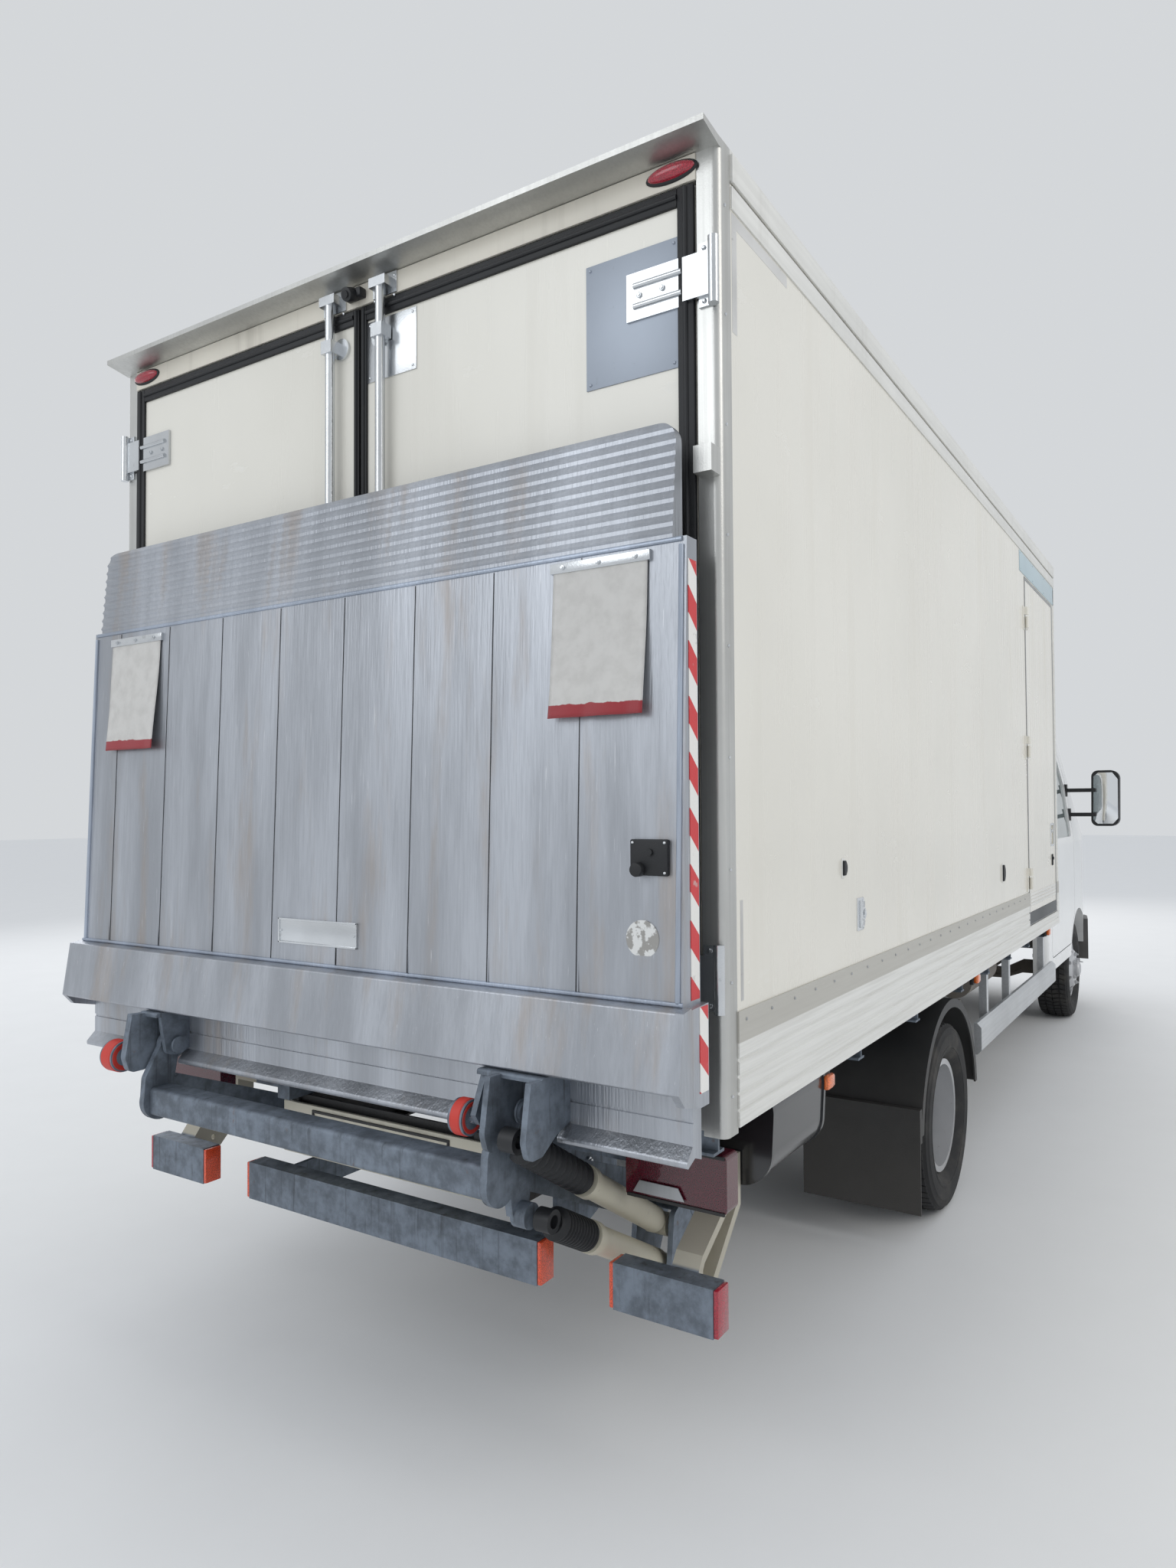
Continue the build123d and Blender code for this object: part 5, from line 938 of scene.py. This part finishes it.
def lift_dressing():
    """Underrun end caps and bolts, pin collars, and the blank number plate."""
    ends = (("underrun_caps", CAP_LENS, ((0.545, 1), (-0.545, -1), (0.768, -1), (-0.768, 1))),
            ("underrun_outer_caps", RED_LENS, ((1.031, 1), (-1.031, -1))))
    for name, finish, places in ends:
        caps = bmesh.new()
        for y, out in places:
            y0, y1 = sorted((y, y + out * 0.012))
            rear = UNDERRUN_REAR
            block(caps, place(rear + 0.001, y0, 0.401), place(rear + 0.059, y1, 0.508), 0.003)
        piece(name, caps, finish)
    bm = bmesh.new()
    block(bm, place(0.126, -0.341, 0.545), place(0.138, 0.458, 0.700), 0.003)
    piece("number_plate_panel", bm, PLATE_CREAM)
    bm = bmesh.new()
    rims = ((-0.210, 0.330, 0.572, 0.580), (-0.210, 0.330, 0.680, 0.688), (-0.210, -0.202, 0.580, 0.680),
            (0.322, 0.330, 0.580, 0.680))
    rear_bars(bm, 0.122, 0.127, rims, 0.001)
    for y in (-0.30, 0.42):
        block(bm, place(0.138, y - 0.015, 0.560), place(0.150, y + 0.015, 0.720), 0.002)
    piece("number_plate_frame", bm, PLASTIC)
    bm = bmesh.new()
    for side in (1, -1):
        for z in (0.430, 0.480):
            hexagon(bm, place(UNDERRUN_REAR + 0.060, side * 0.930, z), (1, 0, 0), 0.008, 0.006)
        for x in (0.340, 0.460, 0.580):
            for z in (0.580, 0.660):
                hexagon(bm, place(x, side * 0.446, z), (0, side, 0), 0.011, 0.008)
    piece("lift_bolts", bm, BRIGHT_STEEL)
    bm = bmesh.new()
    for side in (1, -1):
        x, z = PLATFORM_PIN
        y = side * 0.668
        hoop(bm, place(x, y, z), (0, 1, 0), 0.024, 0.004, 32)
    piece("pin_collars", bm, ZINC, "arm_pins")


def tail_lamp_details():
    """Grey bezel and the clear window of each rear lamp."""
    bezel, clear = bmesh.new(), bmesh.new()
    for side in (1, -1):
        middle = side * 0.862
        points = [(0, -0.070, -0.016), (0, 0.070, -0.016), (0, 0.052, 0.014), (0, -0.052, 0.014)]
        cut_plate(clear, points, place(0.1255, middle, 0.682), place(0.1215, middle, 0.682), 0.0015)
        for z in (0.655, 0.783):
            y = side * 0.903
            block(bezel, place(0.126, y - 0.130, z - 0.004), place(0.132, y + 0.130, z + 0.004), 0.001)
    piece("tail_lamp_windows", clear, GREY_EDGE)
    piece("tail_lamp_edges", bezel, PLASTIC)


# Wheels


def tyre_mesh(bm, x, y):
    """Road tyre with ribbed walls and a ring of tread blocks in four rows."""
    base = TYRE_RADIUS - 0.010
    flank = [(0.2035, 0.0740), (0.2215, 0.0765), (0.2300, 0.0860), (0.2520, 0.1055), (0.2620, 0.1085),
             (0.2640, 0.1110), (0.2720, 0.1115), (0.2740, 0.1100), (0.2980, 0.1120), (0.3180, 0.1118),
             (0.3200, 0.1100), (0.3360, 0.1065), (0.3380, 0.1075), (0.3440, 0.1060), (0.3470, 0.1010),
             (base, 0.0920)]
    profile = [(r, -w) for r, w in flank] + [(r, w) for r, w in flank[::-1]]
    turned(bm, profile, (x, y, AXLE_Z), (0, 1, 0), 72)
    pitches = 58
    half_block = 0.0155
    rows = ((-0.0955, -0.0545, 0.006), (-0.0430, -0.0040, -0.005), (0.0040, 0.0430, 0.005),
            (0.0545, 0.0955, -0.006))
    tread = []
    for y0, y1, skew in rows:
        low = Vector((x - half_block, y + y0, AXLE_Z + base - 0.006))
        high = Vector((x + half_block, y + y1, AXLE_Z + TYRE_RADIUS - 0.0006))
        before = set(bm.verts)
        block(bm, low, high)
        made = [v for v in bm.verts if v not in before]
        for v in made:
            v.co.x += skew if v.co.y > y + (y0 + y1) / 2 else -skew
            if v.co.z > AXLE_Z + base and abs(v.co.y - y) > 0.09:
                v.co.z -= 0.007
                v.co.y -= math.copysign(0.003, v.co.y - y)
        tread += made
    edges = once_each(e for v in tread for e in v.link_edges)
    faces = once_each(f for v in tread for f in v.link_faces)
    bmesh.ops.spin(bm, geom=tread + edges + faces, angle=math.tau * (pitches - 1) / pitches,
                   steps=pitches - 1, axis=(0, 1, 0), cent=(x, y, AXLE_Z), use_duplicate=True)


def wheels():
    """Tyres, wheel nuts, hub caps and valves on every wheel body."""
    for word, side in SIDES:
        groups = (("front_tyre_", "wheel_front_", FRONT_AXLE, (FRONT_WHEEL_Y,), FRONT_WHEEL_Y + 0.116, 0.140),
                  ("rear_tyres_", "wheels_rear_", REAR_AXLE, (OUTER_WHEEL_Y, INNER_WHEEL_Y),
                   OUTER_WHEEL_Y - 0.106, -0.005))
        for node, body, x, places, nut_y, hub_reach in groups:
            bm = bmesh.new()
            for y in places:
                tyre_mesh(bm, x, side * y)
            rubber = piece(node + word + "_tread", bm, TYRE, body + word, 30)
            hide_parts(node + word)
            bm = bmesh.new()
            for k in range(6):
                turn = math.tau * (k + 0.5) / 6
                spot = (x + 0.106 * math.cos(turn), side * nut_y, AXLE_Z + 0.106 * math.sin(turn))
                hexagon(bm, spot, (0, side, 0), 0.0135, 0.016)
            end = side * (places[0] + hub_reach)
            cap = [(0.0, 0.020 * side), (0.030, 0.018 * side), (0.048, 0.010 * side), (0.054, 0.0),
                   (0.054, -0.006 * side), (0.0, -0.006 * side)]
            turned(bm, cap, (x, end, AXLE_Z), (0, 1, 0), 40, closed=False)
            stem = (x + 0.168, side * (nut_y + (0.010 if hub_reach > 0 else 0.030)), AXLE_Z + 0.03)
            rod(bm, stem, (stem[0] - 0.012, stem[1] + side * 0.030, stem[2]), 0.004, sides=10)
            piece(node + word + "_nuts", bm, RIM_PAINT, body + word)


# Cab


def cab_parts():
    """Mirror glasses, wipers, lamp bowls and a blank front plate."""
    for word, side in SIDES:
        bm = bmesh.new()
        h = 0.188
        points = [(0, -0.080, -h + 0.03), (0, -0.050, -h), (0, 0.050, -h), (0, 0.084, -h + 0.04),
                  (0, 0.086, h - 0.05), (0, 0.050, h), (0, -0.044, h), (0, -0.074, h - 0.03)]
        points = [(a, side * b, c) for a, b, c in points]
        cut_plate(bm, points, place(6.2905, side * 1.219, 1.660), place(6.2870, side * 1.219, 1.660), 0.001)
        piece("mirror_glass_" + word, bm, MIRROR, "cab_door_" + word)
    bm = bmesh.new()
    nose = place(7.480, 0, 0)[0]
    block(bm, (nose + 0.036, -0.260, 0.590), (nose + 0.040, 0.260, 0.690), 0.002)
    piece("front_plate", bm, PLATE_CREAM)
    bowls = bmesh.new()
    for side in (1, -1):
        for x, y, radius in ((7.375, 0.690, 0.075), (7.305, 0.850, 0.055)):
            centre = place(x - 0.030, side * y, 0.980)
            profile = [(0.010, -0.045), (radius * 0.7, -0.030), (radius, 0.010), (radius + 0.006, 0.012),
                       (radius + 0.006, 0.004), (radius * 0.75, -0.040), (0.010, -0.052)]
            turned(bowls, profile, centre, (1, side * 0.25, 0), 40)
            bmesh.ops.create_uvsphere(bowls, u_segments=16, v_segments=10, radius=0.018,
                                      matrix=Matrix.Translation(centre))
    piece("lamp_bowls", bowls, CHROME)
    bm = bmesh.new()
    for y0, y1 in ((-0.70, -0.10), (-0.05, 0.55)):
        a, b = place(6.742, y0, 1.470), place(6.650, y1, 1.560)
        rod(bm, a, b, 0.006, sides=10)
        rod(bm, b + Vector((-0.10, -0.15, 0.10)), b + Vector((0.055, 0.16, -0.055)), 0.005, sides=8)
        rod(bm, a - Vector((0.0, 0.0, 0.05)), a + Vector((0.0, 0.0, 0.02)), 0.012, sides=16)
    piece("wipers", bm, PLASTIC)


def padded_form(bm, low, high, lean=0.0, crown=0.030, pinch=0.022):
    """Cushion block with a crowned top and sides that pull in between its corners."""
    low, high = Vector(low), Vector(high)
    middle, half = (low + high) / 2, (high - low) / 2
    before = set(bm.verts)
    block(bm, low, high)
    made = [v for v in bm.verts if v not in before]
    edges = once_each(e for v in made for e in v.link_edges)
    bmesh.ops.subdivide_edges(bm, edges=edges, cuts=7, use_grid_fill=True)
    for v in [v for v in bm.verts if v not in before]:
        p = Vector(((v.co.x - middle.x) / half.x, (v.co.y - middle.y) / half.y, (v.co.z - middle.z) / half.z))
        swell = (1 - p.x * p.x) * (1 - p.y * p.y)
        v.co.z += crown * swell * (1 if p.z > 0 else 0) * abs(p.z)
        v.co.x -= pinch * p.x * (1 - p.y * p.y) * abs(p.x) * 0.5
        v.co.y -= pinch * p.y * (1 - p.x * p.x) * abs(p.y) * 0.5
        v.co.x -= lean * (v.co.z - low.z)


def padded_piece(obj):
    smooth = obj.modifiers.new("soft", "SUBSURF")
    smooth.levels = smooth.render_levels = 1


def seats():
    """Driver's seat and double bench, each cushion its own padded piece."""
    stand_in_used = False
    places = (("driver", 0.172, 0.688, (0.430,)), ("bench", -0.818, 0.078, (-0.595, -0.145)))
    for name, y0, y1, rests in places:
        parts = (("seat", (5.335, y0, 1.032), (5.858, y1, 1.112), 0.0, 0.028),
                 ("back", (5.318, y0 + 0.012, 1.130), (5.418, y1 - 0.012, 1.700), 0.19, 0.0))
        for part, low, high, lean, crown in parts:
            bm = bmesh.new()
            padded_form(bm, place(*low), place(*high), lean, crown)
            cushion = piece(name + "_" + part + "_cushion", bm, CLOTH, angle=60)
            padded_piece(cushion)
            if not stand_in_used:
                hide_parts("cab_seats")
                stand_in_used = True
        for k, y in enumerate(rests):
            bm = bmesh.new()
            padded_form(bm, place(5.185, y - 0.122, 1.752), place(5.255, y + 0.122, 1.915), 0.10, 0.004, 0.03)
            rest = piece(name + "_headrest_%d" % (k + 1), bm, CLOTH, angle=60)
            padded_piece(rest)
        bm = bmesh.new()
        base_y = (0.240, 0.620) if name == "driver" else (-0.760, -0.240)
        block(bm, place(5.380, base_y[0], 0.812), place(5.800, base_y[1], 1.034), 0.012)
        for y in rests:
            for dy in (-0.05, 0.05):
                rod(bm, place(5.222, y + dy, 1.690), place(5.216, y + dy, 1.770), 0.006, sides=12)
        piece(name + "_seat_base", bm, PLASTIC)


def dash_parts():
    """Vents and the gear lever."""
    bm = bmesh.new()
    for y in (-0.70, -0.08, 0.10, 0.72):
        for k in range(4):
            z = 1.285 + k * 0.014
            block(bm, place(6.296, y - 0.055, z), place(6.330, y + 0.055, z + 0.006), 0.001)
    block(bm, place(6.300, -0.10, 1.150), place(6.345, 0.12, 1.262), 0.006)
    piece("dash_vents", bm, PLASTIC)
    bm = bmesh.new()
    rod(bm, place(6.320, 0.05, 1.180), place(6.200, 0.05, 1.300), 0.009, sides=12)
    bmesh.ops.create_uvsphere(bm, u_segments=20, v_segments=12, radius=0.026,
                              matrix=Matrix.Translation(place(6.192, 0.05, 1.308)))
    piece("gear_lever", bm, PLASTIC)


# Cooling unit


def unit_parts():
    """Fan guard rings, the dark intake behind them, and a dark panel and screws on the cooling unit's cover.
    """
    centre = place(BOX_LENGTH + 0.447, 0.300, 2.730)
    bm = bmesh.new()
    for radius in (0.045, 0.075, 0.105, 0.135, 0.163):
        hoop(bm, centre, (1, 0, 0), radius, 0.0028, 48, 6)
    for k in range(8):
        turn = math.tau * k / 8
        out = Vector((0, math.cos(turn), math.sin(turn)))
        rod(bm, centre + out * 0.030, centre + out * 0.168, 0.0028, sides=8)
    piece("fan_guard", bm, PLASTIC)
    bm = bmesh.new()
    rod(bm, centre - Vector((0.0215, 0, 0)), centre - Vector((0.019, 0, 0)), 0.164, sides=48)
    for k in range(6):
        turn = math.tau * k / 6
        out = Vector((0, math.cos(turn), math.sin(turn)))
        across = Vector((0, -math.sin(turn), math.cos(turn)))
        tip = centre - Vector((0.012, 0, 0))
        points = [out * 0.055 - across * 0.015, out * 0.150 - across * 0.045, out * 0.156 + across * 0.012,
                  out * 0.055 + across * 0.015]
        cut_plate(bm, points, tip, tip + Vector((0.003, 0, 0)))
    piece("fan_blades", bm, RUBBER)
    bm = bmesh.new()
    block(bm, place(BOX_LENGTH + 0.4285, -0.536, 2.586), place(BOX_LENGTH + 0.4300, -0.064, 2.842))
    for side in (-1, 1):
        for x in (0.06, 0.34):
            for z in (2.45, 2.95):
                spot = place(BOX_LENGTH + x, side * 0.640, z)
                if x < 0.3 or z > 2.5:
                    dome(bm, spot, (0, side, 0), 0.006)
    piece("unit_screws", bm, RUBBER)


# Build every piece

door_seals()
header_parts()
rear_plates()
hinge_details()
post_screws()
side_rails()
strip_rivets()
wall_buffers()
glue_lines()
side_door_parts()
side_lamps()
deck_parts()
flags()
rollers()
bellows("lift_boot", "lift_rod", LIFT_FRAME_EYE, LIFT_EYE, LIFT_BARREL)
bellows("tilt_boot", "tilt_rod", TILT_FRAME_EYE, TILT_EYE, TILT_BARREL,
        PIN_END_Y - 0.002)
lift_dressing()
tail_lamp_details()
wheels()
cab_parts()
seats()
dash_parts()
unit_parts()


# Studio


def floor_finish():
    f = Finish("pale floor")
    speck = f.noise(3.0, 6.0)
    return f.set(Base_Color=f.mix(speck, (0.78, 0.78, 0.77), (0.82, 0.82, 0.81)), Roughness=0.95)


def studio():
    finish = floor_finish()
    bm = bmesh.new()
    bmesh.ops.create_grid(bm, x_segments=1, y_segments=1, size=FLOOR_REACH)
    mesh = bpy.data.meshes.new("floor")
    bm.to_mesh(mesh)
    bm.free()
    mesh.materials.append(finish.material)
    floor = bpy.data.objects.new("floor", mesh)
    bpy.context.scene.collection.objects.link(floor)
    world = bpy.data.worlds.new("studio")
    bpy.context.scene.world = world
    world.use_nodes = True
    nodes, links = world.node_tree.nodes, world.node_tree.links
    light = nodes["Background"]
    light.inputs["Color"].default_value = SKY_LIGHT
    light.inputs["Strength"].default_value = SKY_STRENGTH
    seen = nodes.new("ShaderNodeBackground")
    seen.inputs["Color"].default_value = BACKDROP
    seen.inputs["Strength"].default_value = 1.0
    path = nodes.new("ShaderNodeLightPath")
    choose = nodes.new("ShaderNodeMixShader")
    kinds = [path.outputs[kind] for kind in ("Is Camera Ray", "Is Glossy Ray", "Is Transmission Ray")]
    either = kinds[0]
    for kind in kinds[1:]:
        both = nodes.new("ShaderNodeMath")
        both.operation = "MAXIMUM"
        links.new(either, both.inputs[0])
        links.new(kind, both.inputs[1])
        either = both.outputs[0]
    links.new(either, choose.inputs[0])
    links.new(light.outputs[0], choose.inputs[1])
    links.new(seen.outputs[0], choose.inputs[2])
    links.new(choose.outputs[0], nodes["World Output"].inputs["Surface"])
    lamps = (("key", (-2.0, -9.0, 7.5), (0.0, 0.0, 1.4), 6.0, 200.0, (1.0, 0.97, 0.92)),
             ("rear", (-10.5, 2.5, 6.0), (-3.6, 0.0, 1.6), 5.0, 135.0, (0.94, 0.97, 1.0)),
             ("left", (1.0, 10.0, 6.5), (0.5, 0.0, 1.4), 6.0, 165.0, (0.97, 0.98, 1.0)),
             ("front", (11.0, 2.5, 6.0), (3.5, 0.0, 1.4), 5.0, 170.0, (1.0, 0.98, 0.96)))
    for name, spot, target, size, power, colour in lamps:
        data = bpy.data.lights.new(name, "AREA")
        data.size = size
        data.energy = power
        data.color = colour
        lamp = bpy.data.objects.new(name, data)
        lamp.location = spot
        lamp.rotation_euler = (Vector(target) - Vector(spot)).to_track_quat("-Z", "Y").to_euler()
        bpy.context.scene.collection.objects.link(lamp)


def camera():
    """Viewpoint solved from the photograph's box edges."""
    yaw, pitch, roll = YAW, PITCH, ROLL
    ahead = Vector((math.cos(pitch) * math.cos(yaw), math.cos(pitch) * math.sin(yaw), math.sin(pitch)))
    level = Vector((math.sin(yaw), -math.cos(yaw), 0.0))
    above = level.cross(ahead)
    right = math.cos(roll) * level + math.sin(roll) * above
    up = math.cos(roll) * above - math.sin(roll) * level
    data = bpy.data.cameras.new("photo view")
    data.sensor_width = 36.0
    data.lens = LENS
    data.clip_end = 300.0
    eye = bpy.data.objects.new("photo view", data)
    turn = Matrix((right, up, -ahead)).transposed().to_4x4()
    eye.matrix_world = Matrix.Translation(place(*EYE)) @ turn
    bpy.context.scene.collection.objects.link(eye)
    bpy.context.scene.camera = eye


studio()
camera()
bpy.context.scene.view_settings.view_transform = "Standard"
